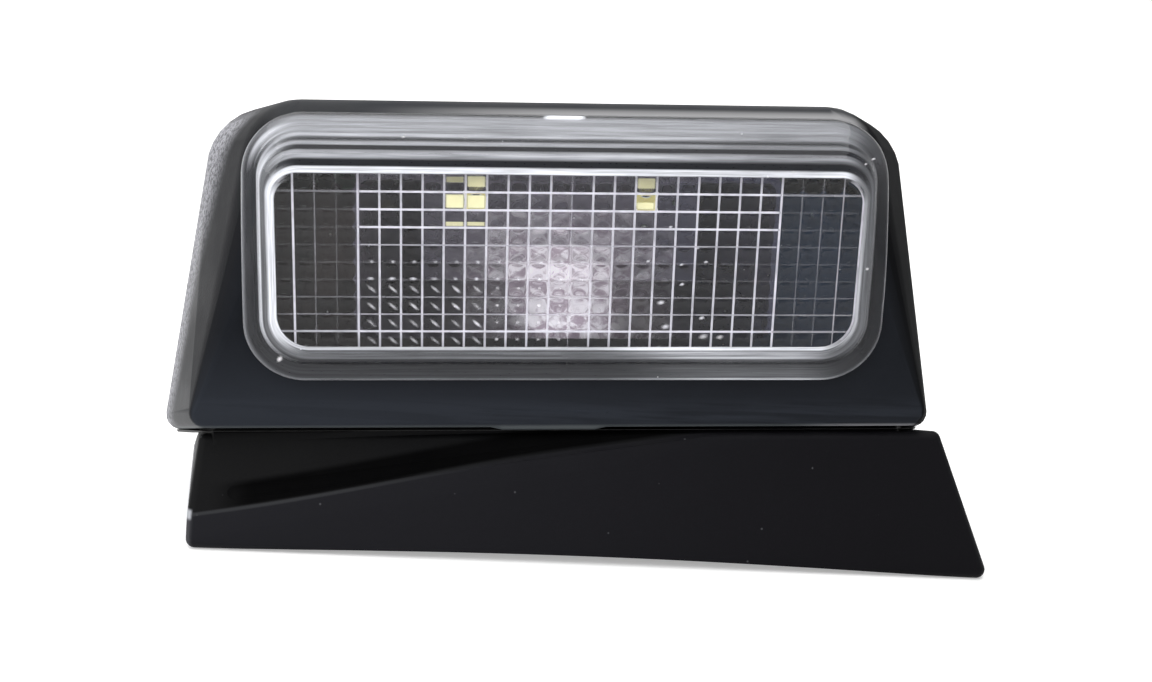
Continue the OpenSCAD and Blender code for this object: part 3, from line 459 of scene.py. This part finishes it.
def pillow_glints():
    """Painted highlights for the small bright images that the pillows make of the lamps, round dots on the
    two middle lines and slanting dashes in the cells under them, and small white flecks on the lens wall;
    each an ellipse (x, z, long, short, tilt, strength) whose strength falls from its middle to its rim."""
    spots = []
    for c in range(4, 15):
        x = -FACE_HALF + (c + 0.5) * PILLOW_W
        fade = 0.55 + 0.45 * random.random()
        spots.append((x + 0.5, 0.0, 0.5, 0.42, 0.0, 0.75 * fade))
        spots.append((x + 0.3, -PILLOW_H + 0.1, 0.85 if c < 8 else 0.5, 0.4, 0.0, 0.95 * fade + 0.05))
    for c in range(4, 14):
        x = -FACE_HALF + (c + 0.5) * PILLOW_W
        for r in range(6, 10):
            z = FACE_HALF_H - (r + 0.5) * PILLOW_H
            if c < 10:
                value = 0.3 + 0.6 * random.random() * (c / 9.0)
                spots.append((x + 0.45, z - 0.25, 1.35, 0.42, -0.72, value))
            else:
                spots.append((x + 0.3, z, 0.5, 0.4, 0.0, 0.35 + 0.5 * random.random()))
    face_flecks = [(-54.9, -18.7, 0.85, 0.6, 0.9, 1.0), (57.3, -0.3, 0.5, 0.42, 0.0, 1.0),
             (56.6, 21.3, 0.5, 0.3, 0.4, 0.9), (55.2, 20.3, 0.4, 0.25, 0.4, 0.9),
             (-31.5, 24.4, 0.5, 0.25, 0.2, 0.9), (-20.2, 24.4, 0.3, 0.2, 0.0, 0.8),
             (41.5, 18.6, 0.35, 0.3, 0.0, 0.9)]
    first_fleck, after_flecks = len(spots), len(spots) + len(face_flecks)
    spots += face_flecks
    for x, z, size in ((17.9, -7.9, 0.9), (19.0, -12.8, 1.0), (26.0, -11.0, 0.7), (24.5, 3.0, 0.45),
                       (19.0, 7.2, 0.5), (21.5, -0.3, 0.5), (21.8, -4.2, 0.6), (15.0, 0.4, 0.5),
                       (26.2, 0.3, 0.5), (26.5, -14.8, 1.1), (29.8, -14.9, 0.9)):
        spots.append((x, z, size, size * 0.6, 0.2, 0.85))
    a = np.linspace(0, 2 * np.pi, 12, endpoint=False)
    verts, faces, strength = [], [], []
    for k, (x, z, long, short, tilt, value) in enumerate(spots):
        e = np.stack([long * np.cos(a), short * np.sin(a)], 1)
        c, t = math.cos(tilt), math.sin(tilt)
        y = FACE_Y if first_fleck <= k < after_flecks else GLINT_Y
        rim = np.stack([x + e[:, 0] * c - e[:, 1] * t, np.full(12, y), z + e[:, 0] * t + e[:, 1] * c], 1)
        verts.append(np.concatenate([[[x, y, z]], rim]))
        strength.append(np.concatenate([[value], np.zeros(12)]))
        faces.append(np.array([(13 * k, 13 * k + 1 + j, 13 * k + 1 + (j + 1) % 12) for j in range(12)]))
    return make_mesh("pillow_glints", to_row(np.concatenate(verts)), np.concatenate(faces),
                     values={"strength": np.concatenate(strength)})


# Materials

class Sheet:
    """A node tree being drawn: add() places a node with its values, the others are the sums, masks and
    patterns that the finishes share."""

    def __init__(self, tree):
        self.tree = tree
        self.nodes = tree.nodes
        self.links = tree.links

    def add(self, kind, values=None, **props):
        node = self.nodes.new(kind)
        for k, v in props.items():
            setattr(node, k, v)
        for k, v in (values or {}).items():
            if isinstance(v, bpy.types.NodeSocket):
                self.links.new(v, node.inputs[k])
            else:
                node.inputs[k].default_value = v
        return node

    def math(self, op, a, b=0.0, clamp=False):
        return self.add("ShaderNodeMath", {0: a, 1: b}, operation=op, use_clamp=clamp).outputs[0]

    def times(self, a, b, clamp=False):
        return self.math("MULTIPLY", a, b, clamp)

    def plus(self, a, b, clamp=False):
        return self.math("ADD", a, b, clamp)

    def minus(self, a, b):
        return self.math("SUBTRACT", a, b)

    def larger(self, a, b):
        return self.math("MAXIMUM", a, b)

    def size(self, a):
        return self.math("ABSOLUTE", a)

    def normal(self):
        return self.apart(self.add("ShaderNodeNewGeometry").outputs["Normal"])

    def stretched(self, vector, scale):
        return self.add("ShaderNodeMapping", {"Vector": vector, "Scale": scale}).outputs[0]

    def ramp(self, x, lo, hi, out_lo=0.0, out_hi=1.0):
        limits = {"Value": x, "From Min": lo, "From Max": hi, "To Min": out_lo, "To Max": out_hi}
        return self.add("ShaderNodeMapRange", limits, interpolation_type="SMOOTHSTEP").outputs[0]

    def mix(self, fac, a, b):
        n = self.add("ShaderNodeMix", {0: fac, 6: a, 7: b}, data_type="RGBA")
        return n.outputs[2]

    def apart(self, vector):
        n = self.add("ShaderNodeSeparateXYZ", {"Vector": vector})
        return n.outputs["X"], n.outputs["Y"], n.outputs["Z"]

    def value(self, name):
        return self.add("ShaderNodeAttribute", attribute_name=name).outputs["Fac"]

    def noise(self, co, scale, detail=2.0, rough=0.5):
        values = {"Vector": co, "Scale": scale, "Detail": detail, "Roughness": rough}
        return self.add("ShaderNodeTexNoise", values).outputs["Fac"]

    def principled(self, values, out):
        """The surface's shader, joined to the material's output."""
        shader = self.add("ShaderNodeBsdfPrincipled", values)
        self.links.new(shader.outputs[0], out.inputs[0])
        return shader

    def seen_straight(self):
        """1 for rays from the eye, a mirror or through glass, 0 for the light that the stage gives."""
        ray = self.add("ShaderNodeLightPath").outputs
        mirrored = self.larger(ray["Is Glossy Ray"], ray["Is Transmission Ray"])
        return self.larger(ray["Is Camera Ray"], mirrored)


def effect(name, inputs, outputs):
    """A shader node group with named inputs and outputs."""
    tree = bpy.data.node_groups.new(name, "ShaderNodeTree")
    for label, kind, value in inputs:
        sock = tree.interface.new_socket(label, in_out="INPUT", socket_type=kind)
        if value is not None:
            sock.default_value = value
    for label, kind in outputs:
        tree.interface.new_socket(label, in_out="OUTPUT", socket_type=kind)
    sheet = Sheet(tree)
    return sheet, sheet.add("NodeGroupInput"), sheet.add("NodeGroupOutput")


def grain_effect():
    """Fine pebbled grain of moulded plastic: rounded cells broken by noise, as a height and a soft tone."""
    s, i, o = effect("moulded grain",
                     [("Place", "NodeSocketVector", None), ("Pitch", "NodeSocketFloat", 2600.0)],
                     [("Height", "NodeSocketFloat"), ("Tone", "NodeSocketFloat")])
    spread = {"Vector": i.outputs[0], "Scale": i.outputs[1]}
    cell = s.add("ShaderNodeTexVoronoi", spread, feature="SMOOTH_F1").outputs["Distance"]
    fine = s.noise(i.outputs[0], 5200.0, 2.0)
    height = s.plus(s.times(cell, 0.7), s.times(fine, 0.45))
    s.links.new(height, o.inputs["Height"])
    s.links.new(s.noise(i.outputs[0], 60.0, 4.0, 0.6), o.inputs["Tone"])
    return s.tree


def dust_effect():
    """Dust: sparse small specks and a thin film that settles where the surface looks up."""
    s, i, o = effect("dust", [("Place", "NodeSocketVector", None), ("Amount", "NodeSocketFloat", 0.5)],
                     [("Specks", "NodeSocketFloat"), ("Film", "NodeSocketFloat")])
    v = s.add("ShaderNodeTexVoronoi", {"Vector": i.outputs[0], "Scale": 420.0})
    chance = s.add("ShaderNodeSeparateColor", {"Color": v.outputs["Color"]}).outputs[0]
    pick = s.math("GREATER_THAN", chance, s.minus(1.0, s.times(i.outputs[1], 0.16)))
    speck = s.times(s.ramp(v.outputs["Distance"], 0.12, 0.05), pick)
    s.links.new(speck, o.inputs["Specks"])
    patches = s.ramp(s.noise(i.outputs[0], 90.0, 5.0, 0.65), 0.35, 0.75)
    film = s.times(s.ramp(s.normal()[2], 0.2, 1.0), s.times(patches, i.outputs[1]))
    s.links.new(film, o.inputs["Film"])
    return s.tree


GRAIN = grain_effect()
DUST = dust_effect()


def material(name):
    """An empty material: itself, its sheet, its output and the place on the object."""
    mat = bpy.data.materials.new(name)
    mat.use_nodes = True
    sheet = Sheet(mat.node_tree)
    sheet.nodes.clear()
    out = sheet.add("ShaderNodeOutputMaterial")
    place = sheet.add("ShaderNodeTexCoord").outputs["Object"]
    return mat, sheet, out, place


def hood_painted_light(s, place, colour, gloss):
    """The hood, with painted light: a painted highlight along its lip, painted light that grows paler towards
    the lip and the left end with paler streaks just above it, a painted highlight on the top roll, a painted
    highlight with grain on the left side, painted shade where that side turns to the front, and painted shade
    on the right side."""
    x, y, z = s.apart(place)
    lip = s.plus(s.times(x, math.tan(ROOF_FALL)), s.times(s.plus(y, LENS_Y * MM), -LIP_FALL))
    over = s.minus(z, s.plus(lip, (LENS_H - LIP_DROP) * MM))
    # painted light: the front paler towards the lip and the left end, with paler streaks in a band just above
    # the lip
    wiped = s.noise(s.stretched(place, (30.0, 30.0, 520.0)), 1.0, 3.0, 0.6)
    film = s.times(s.ramp(over, 0.022, 0.0), s.ramp(x, 0.075, -0.07, 0.1, 1.0))
    streaked_lip_band = s.times(s.times(s.ramp(over, 0.0075, 0.003), s.ramp(wiped, 0.42, 0.66)), 0.6)
    film = s.plus(film, streaked_lip_band, clamp=True)
    colour = s.mix(s.times(film, 0.8), colour, (0.0235, 0.0275, 0.036, 1))
    # painted highlight along the lip's lower edge, brighter towards the right corner
    line = s.times(s.ramp(over, 0.0011, 0.0004), s.ramp(over, -0.0004, 0.0001))
    wear_and_highlight = s.mix(s.ramp(x, 0.045, 0.062), (0.085, 0.095, 0.1, 1), (0.3, 0.3, 0.32, 1))
    colour = s.mix(s.times(line, 0.8), colour, wear_and_highlight)
    across, deep, up = s.normal()
    leftward = s.times(across, -1.0)
    # painted highlight on the top roll where it faces up, towards the right
    roll = s.times(s.ramp(up, 0.2, 0.45), s.ramp(deep, -0.15, -0.4))
    roll = s.times(roll, s.ramp(z, 0.065, 0.072))
    colour = s.mix(s.times(roll, s.ramp(x, -0.045, 0.0)), colour, (0.26, 0.26, 0.265, 1))
    # painted shade where the left side turns to the front, and a painted highlight with grain on the left
    # side
    side = s.times(s.ramp(leftward, 0.45, 0.8), s.ramp(y, -0.007, 0.0028))
    highlight_grain = s.ramp(s.noise(place, 1300.0, 3.0, 0.7), 0.38, 0.6, 0.3, 1.0)
    colour = s.mix(s.times(s.ramp(leftward, 0.3, 0.7), 0.8), colour, (0.006, 0.0062, 0.0075, 1))
    colour = s.mix(s.times(side, highlight_grain), colour, (0.36, 0.36, 0.39, 1))
    # painted shade on the right side, which is also made rougher
    rightward = s.ramp(leftward, -0.25, -0.6)
    colour = s.mix(rightward, colour, (0.002, 0.0022, 0.0028, 1))
    return colour, s.plus(gloss, s.times(rightward, 0.5), clamp=True)


def foot_painted_light(s, place, colour, gloss):
    """The foot's front, with painted light: painted shade makes the drain channel above the crease darkest,
    and it is matt; painted light falls off from left to right over the wall and the darker shoulder; a
    painted highlight runs along the crease at the left, and its left corner gets painted light with a painted
    highlight at its edge."""
    x, y, z = s.apart(place)
    crease = s.plus(s.times(x, CREASE_SLOPE), (CREASE_LOW + FOOT_LEFT * CREASE_SLOPE) * MM)
    over = s.minus(z, s.plus(crease, s.ramp(x, -0.064, 0.005, -0.0011, 0.0012)))
    # painted shade: a dark band in the drain channel just above the crease, fading out at the left end
    painted_channel_shade = s.times(s.ramp(over, 0.0003, 0.0009), s.ramp(over, 0.0056, 0.0042))
    painted_channel_shade = s.times(painted_channel_shade, s.ramp(x, -0.068, -0.058))
    # painted light: front wall and darker shoulder lighter at the left, darker towards the right
    wall = s.mix(s.ramp(x, -0.07, 0.09), (0.0135, 0.0135, 0.0165, 1), (0.0046, 0.0042, 0.0055, 1))
    shoulder = s.mix(s.ramp(x, -0.065, 0.0), (0.0062, 0.0062, 0.0064, 1), (0.0009, 0.001, 0.0013, 1))
    painted_falloff = s.mix(s.ramp(over, -0.0002, 0.0004), wall, shoulder)
    front = s.ramp(y, 0.004, -0.01)
    colour = s.mix(s.times(front, 0.82), colour, painted_falloff)
    # painted shade laid into the channel, which is also made matt
    colour = s.mix(s.times(painted_channel_shade, 0.97), colour, (0.0004, 0.0004, 0.0005, 1))
    gloss = s.plus(gloss, s.times(painted_channel_shade, 0.4), clamp=True)
    # painted highlight along the crease's rounded edge, fading out towards the right
    crease_highlight = s.times(s.ramp(s.size(s.plus(over, -0.0001)), 0.0005, 0.0001), s.ramp(x, 0.0, -0.055, 0.0, 0.85))
    colour = s.mix(crease_highlight, colour, (0.036, 0.037, 0.04, 1))
    leftward = s.times(s.normal()[0], -1.0)
    # painted light on the left-facing corner below the crease, with a painted highlight at its edge
    corner = s.times(s.ramp(leftward, 0.15, 0.75), s.ramp(over, 0.0006, -0.0006))
    bright = s.times(s.ramp(leftward, 0.3, 0.6), s.ramp(s.size(over), 0.0012, 0.0004))
    colour = s.mix(s.times(corner, 0.8), colour, (0.06, 0.06, 0.066, 1))
    return s.mix(bright, colour, (0.4, 0.41, 0.44, 1)), gloss


def carrier_marks(s, place, colour, gloss):
    """Brownish and blotched at the left end, bluish at the right."""
    x = s.apart(place)[0]
    blotch = s.ramp(s.noise(place, 120.0, 3.0), 0.35, 0.65)
    brown = s.mix(0.8, colour, s.mix(blotch, (0.006, 0.005, 0.005, 1), (0.024, 0.016, 0.014, 1)))
    blue = s.mix(0.8, colour, (0.003, 0.0165, 0.044, 1))
    return s.mix(s.ramp(x, -0.03, 0.05), brown, blue), gloss


def moulded_plastic(name, dark, light, rough, bump, pitch=2600.0, dust=0.5, sheen=0.5, marks_and_light=None):
    """Grained plastic: colour drifts between two tones, roughness and bump follow the grain, dust lies on
    it, and a function given for one piece adds what belongs to that piece: for the hood and the foot this is
    mostly painted light and shade."""
    mat, s, out, place = material(name)
    grain = s.add("ShaderNodeGroup", node_tree=GRAIN)
    s.links.new(place, grain.inputs["Place"])
    grain.inputs["Pitch"].default_value = pitch
    dirt = s.add("ShaderNodeGroup", node_tree=DUST)
    s.links.new(place, dirt.inputs["Place"])
    dirt.inputs["Amount"].default_value = dust
    tone = s.mix(s.ramp(grain.outputs["Tone"], 0.3, 0.7), (*dark, 1), (*light, 1))
    filmed = s.mix(s.times(dirt.outputs["Film"], 0.25), tone, (0.16, 0.16, 0.155, 1))
    colour = s.mix(dirt.outputs["Specks"], filmed, (0.3, 0.31, 0.33, 1))
    wear_and_highlight = s.ramp(grain.outputs["Tone"], 0.3, 0.75, rough - 0.05, rough + 0.06)
    gloss = s.plus(wear_and_highlight, s.times(dirt.outputs["Film"], 0.2))
    if marks_and_light:
        colour, gloss = marks_and_light(s, place, colour, gloss)
    b = s.add("ShaderNodeBump", {"Strength": bump, "Distance": 0.00006, "Height": grain.outputs["Height"]})
    s.principled({"Base Color": colour, "Roughness": gloss, "Specular IOR Level": sheen,
                  "Normal": b.outputs[0]}, out)
    return mat


def plain_metal(name, colour, rough, scratch=900.0):
    """Metal with fine drawn lines in its roughness and slight stain."""
    mat, s, out, place = material(name)
    lines = s.noise(s.stretched(place, (1.0, 14.0, 1.0)), scratch, 3.0, 0.6)
    stain = s.noise(place, 180.0, 4.0, 0.6)
    c = s.mix(s.ramp(stain, 0.4, 0.8), (*colour, 1), tuple(v * 0.72 for v in colour) + (1,))
    drawn = s.ramp(lines, 0.3, 0.7, rough - 0.06, rough + 0.1)
    s.principled({"Base Color": c, "Roughness": drawn, "Metallic": 1.0}, out)
    return mat


def clear_lens_material(name, rough=0.015):
    """Clear acrylic: refracts, lets the lamps through in its shadow, with dust specks that dull it."""
    mat, s, out, place = material(name)
    dirt = s.add("ShaderNodeGroup", node_tree=DUST)
    s.links.new(place, dirt.inputs["Place"])
    dirt.inputs["Amount"].default_value = 0.25
    wiped = s.ramp(s.noise(place, 300.0, 3.0), 0.4, 0.8, rough, rough + 0.03)
    dull = s.plus(s.times(dirt.outputs["Specks"], 0.6), wiped)
    p = s.add("ShaderNodeBsdfPrincipled", {"Base Color": (0.955, 0.965, 0.985, 1), "Roughness": dull,
                                           "IOR": 1.28, "Transmission Weight": 1.0})
    clear = s.add("ShaderNodeBsdfTransparent", {"Color": (0.93, 0.94, 0.96, 1)})
    shadow = s.add("ShaderNodeLightPath").outputs["Is Shadow Ray"]
    mixer = s.add("ShaderNodeMixShader", {0: shadow, 1: p.outputs[0], 2: clear.outputs[0]})
    s.links.new(mixer.outputs[0], out.inputs[0])
    return mat


def catch_material(name, colour, rough=0.45, broken=260.0):
    """Painted highlights on the acrylic, for light caught along a fillet or at a bright image: as opaque as
    its strength, a little broken by noise."""
    mat, s, out, place = material(name)
    breaks = s.ramp(s.noise(place, broken, 3.0, 0.6), 0.3, 0.62, 0.72, 1.0)
    alpha = s.times(s.value("strength"), breaks)
    c = s.mix(s.noise(place, 700.0, 2.0), tuple(v * 0.92 for v in colour) + (1,), (*colour, 1))
    s.principled({"Base Color": c, "Roughness": rough, "Specular IOR Level": 0.3, "Alpha": alpha}, out)
    return mat


def wall_band_material():
    """Painted light and shade on the lens wall's steps: their tone and cover come from the rings, drawn out
    into fine streaks that follow the outline."""
    mat, s, out, place = material("lens wall painted light")
    uv = s.add("ShaderNodeTexCoord").outputs["UV"]
    long = s.ramp(s.noise(s.stretched(uv, (0.035, 2.6, 1.0)), 1.0, 3.0, 0.6), 0.35, 0.65, 0.72, 1.12)
    fine = s.ramp(s.noise(s.stretched(uv, (0.11, 7.0, 1.0)), 1.0, 2.0, 0.6), 0.3, 0.7, -0.16, 0.12)
    streak = s.plus(long, fine)
    tone = s.times(s.value("tone"), streak, clamp=True)
    c = s.mix(tone, (0.006, 0.0065, 0.009, 1), (0.88, 0.89, 0.93, 1))
    cover = s.value("cover")
    s.principled({"Base Color": c, "Roughness": 0.5, "Specular IOR Level": 0.05, "Alpha": cover}, out)
    return mat


def glowing_disc():
    """Yellow phosphor gel: bright colour with a faint mottled surface."""
    mat, s, out, place = material("led phosphor")
    c = s.mix(s.noise(place, 1500.0, 2.0), (0.85, 0.72, 0.16, 1), (0.98, 0.9, 0.42, 1))
    s.principled({"Base Color": c, "Roughness": 0.35}, out)
    return mat


def reflector_material():
    """Metallised plastic, smoked and hazy: a dark plum bowl with a painted reflection, a pale lavender patch
    that also glows a little by emission, where it throws the light forward."""
    mat, s, out, place = material("metallised bowl")
    x, y, z = s.apart(place)
    wave = s.noise(place, 230.0, 3.0, 0.6)
    dx = s.times(s.minus(x, GLOW_X * MM), 1 / (GLOW_HALF_W * MM))
    dz = s.times(s.minus(z, GLOW_Z * MM), 1 / (GLOW_HALF_H * MM))
    far = s.plus(s.times(dx, dx), s.times(dz, dz))
    patch = s.ramp(s.plus(far, s.times(wave, 1.2)), 2.6, 0.3)
    halo = s.times(s.ramp(s.plus(s.times(far, 0.16), s.times(wave, 0.9)), 1.3, 0.35), 0.3)
    plum = s.mix(s.ramp(wave, 0.35, 0.7), (0.036, 0.033, 0.043, 1), (0.066, 0.058, 0.076, 1))
    side = s.mix(s.ramp(x, 0.012, 0.034), plum, (0.03, 0.03, 0.05, 1))
    mottle = s.ramp(s.noise(place, 420.0, 4.0, 0.7), 0.4, 0.58)
    pale = s.mix(mottle, (0.42, 0.34, 0.4, 1), (0.97, 0.92, 0.96, 1))
    glow = s.larger(patch, halo)
    c = s.mix(glow, side, pale)
    b = s.add("ShaderNodeBump", {"Strength": 0.6, "Distance": 0.0004, "Height": s.noise(place, 160.0, 2.0)})
    # the pale patch is a painted reflection and also glows a little by emission
    s.principled({"Base Color": c, "Roughness": s.ramp(wave, 0.3, 0.7, 0.22, 0.38),
                  "Metallic": s.ramp(glow, 0.1, 0.9, 0.85, 0.05), "Normal": b.outputs[0],
                  "Emission Color": s.mix(glow, (0, 0, 0, 1), pale), "Emission Strength": 0.22}, out)
    return mat


# Finishes and pieces

photo_camera()

finish = {
    "hood_plastic": moulded_plastic("hood plastic", (0.0052, 0.0064, 0.0092), (0.008, 0.0094, 0.0128),
                                    0.46, 0.5, dust=0.3, sheen=0.07, marks_and_light=hood_painted_light),
    "foot_plastic": moulded_plastic("foot plastic", (0.0035, 0.0038, 0.0046), (0.0062, 0.0066, 0.0078),
                                    0.52, 0.35, dust=0.4, sheen=0.05, marks_and_light=foot_painted_light),
    "carrier_plastic": moulded_plastic("carrier plastic", (0.012, 0.011, 0.012), (0.022, 0.02, 0.021),
                                       0.5, 0.3, dust=0.2, sheen=0.1, marks_and_light=carrier_marks),
    "vent_plastic": moulded_plastic("vent plastic", (0.014, 0.014, 0.016), (0.02, 0.02, 0.023), 0.5, 0.3),
    "component_black": moulded_plastic("component black", (0.02, 0.02, 0.022), (0.03, 0.03, 0.032),
                                       0.45, 0.2),
    "terminal_plastic": moulded_plastic("terminal plastic", (0.04, 0.13, 0.07), (0.06, 0.17, 0.1), 0.4, 0.15),
    "board_laminate": moulded_plastic("board laminate", (0.015, 0.07, 0.03), (0.025, 0.1, 0.045),
                                      0.32, 0.15, dust=0.2),
    "led_body": moulded_plastic("led body", (0.72, 0.72, 0.66), (0.84, 0.84, 0.79), 0.45, 0.1, dust=0.1),
    "seal_rubber": moulded_plastic("seal rubber", (0.01, 0.01, 0.01), (0.018, 0.018, 0.018),
                                   0.65, 0.4, pitch=1800.0),
    "gasket_foam": moulded_plastic("gasket foam", (0.014, 0.014, 0.014), (0.03, 0.03, 0.03),
                                   0.85, 0.9, pitch=1100.0),
    "pad_silicone": moulded_plastic("pad silicone", (0.3, 0.32, 0.34), (0.38, 0.4, 0.42), 0.6, 0.2),
    "membrane_white": moulded_plastic("vent membrane", (0.7, 0.7, 0.68), (0.82, 0.82, 0.8), 0.8, 0.5),
    "reflector_metal": reflector_material(),
    "screw_steel": plain_metal("screw steel", (0.5, 0.51, 0.53), 0.32),
    "capacitor_can": plain_metal("capacitor can", (0.66, 0.66, 0.67), 0.3),
    "spreader_aluminium": plain_metal("spreader aluminium", (0.6, 0.61, 0.62), 0.35),
    "contact_brass": plain_metal("contact brass", (0.62, 0.45, 0.18), 0.3),
    "insert_brass": plain_metal("insert brass", (0.62, 0.45, 0.18), 0.3),
    "led_phosphor": glowing_disc(),
}
slots = {e["node"]: e["material_slot"] for e in frame["record"]["subparts"]}
for name, obj in nodes.items():
    if slots[name] in finish:
        obj.data.materials.clear()
        obj.data.materials.append(finish[slots[name]])

hood = softened("hood", "hood_smooth")
foot = softened("foot", "foot_smooth")
for obj, node in ((hood, "hood"), (foot, "foot")):
    obj.data.materials.clear()
    obj.data.materials.append(finish[slots[node]])
    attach(obj, "root")
    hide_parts(node)

lens_glass = clear_lens_material("clear acrylic")
shell = lens_shell()
field = pillow_field()
lines = catch_material("groove fillet highlights", (0.8, 0.785, 0.86))
for obj, mat in ((shell, lens_glass), (field, lens_glass), (groove_highlights(), lines),
                 (pillow_glints(), catch_material("pillow glints", (0.97, 0.95, 0.98), broken=40.0)),
                 (lamp_images(), catch_material("lamp images", (0.93, 0.88, 0.52), broken=30.0)),
                 (wall_bands(), wall_band_material())):
    obj.data.materials.append(mat)
    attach(obj, "root")
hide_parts("lens")


# Floor, lamps and world

def stage_floor():
    """A wide flat floor that goes out under the camera, white to the eye where nothing shades it."""
    v = [(-3, -3, ROOF_Z), (3, -3, ROOF_Z), (3, 3, ROOF_Z), (-3, 3, ROOF_Z)]
    floor = make_mesh("stage_floor", v, [(0, 1, 2, 3)], smooth=False)
    mat, s, out, place = material("pale floor")
    grey = s.mix(s.noise(place, 3.0, 3.0), (0.8, 0.8, 0.8, 1), (0.84, 0.84, 0.84, 1))
    p = s.add("ShaderNodeBsdfPrincipled", {"Base Color": grey, "Roughness": 0.8})
    lit = s.add("ShaderNodeEmission", {"Color": (1, 1, 1, 1), "Strength": 0.35})
    both = s.add("ShaderNodeAddShader")
    s.links.new(p.outputs[0], both.inputs[0])
    s.links.new(lit.outputs[0], both.inputs[1])
    m = s.add("ShaderNodeMixShader", {0: s.seen_straight(), 1: p.outputs[0], 2: both.outputs[0]})
    s.links.new(m.outputs[0], out.inputs[0])
    floor.data.materials.append(mat)
    return floor


def soft_lamp(name, place, aim, size, size_y, power):
    """A rectangular area lamp that looks from its place at the aim."""
    data = bpy.data.lights.new(name, "AREA")
    data.shape = "RECTANGLE"
    data.size, data.size_y = size, size_y
    data.energy = power
    obj = bpy.data.objects.new(name, data)
    obj.rotation_mode = "QUATERNION"
    obj.rotation_quaternion = (Vector(aim) - Vector(place)).to_track_quat("-Z", "Y")
    obj.location = place
    bpy.context.collection.objects.link(obj)
    return obj


stage_floor()
soft_lamp("overhead", (-0.15, 0.0, 1.0), (0, 0, 0.05), 2.0, 1.5, 20.0)
soft_lamp("left_front", (-0.9, -0.55, 0.55), (0, 0, 0.05), 0.7, 0.7, 4.0)
world = bpy.data.worlds.new("studio")
bpy.context.scene.world = world
world.use_nodes = True
w = Sheet(world.node_tree)
w.nodes.clear()
wout = w.add("ShaderNodeOutputWorld")
strength = w.ramp(w.seen_straight(), 0, 1, 0.35, 1.0)
bg = w.add("ShaderNodeBackground", {"Color": (1, 1, 1, 1), "Strength": strength})
w.links.new(bg.outputs[0], wout.inputs[0])
bpy.context.scene.view_settings.view_transform = "Standard"
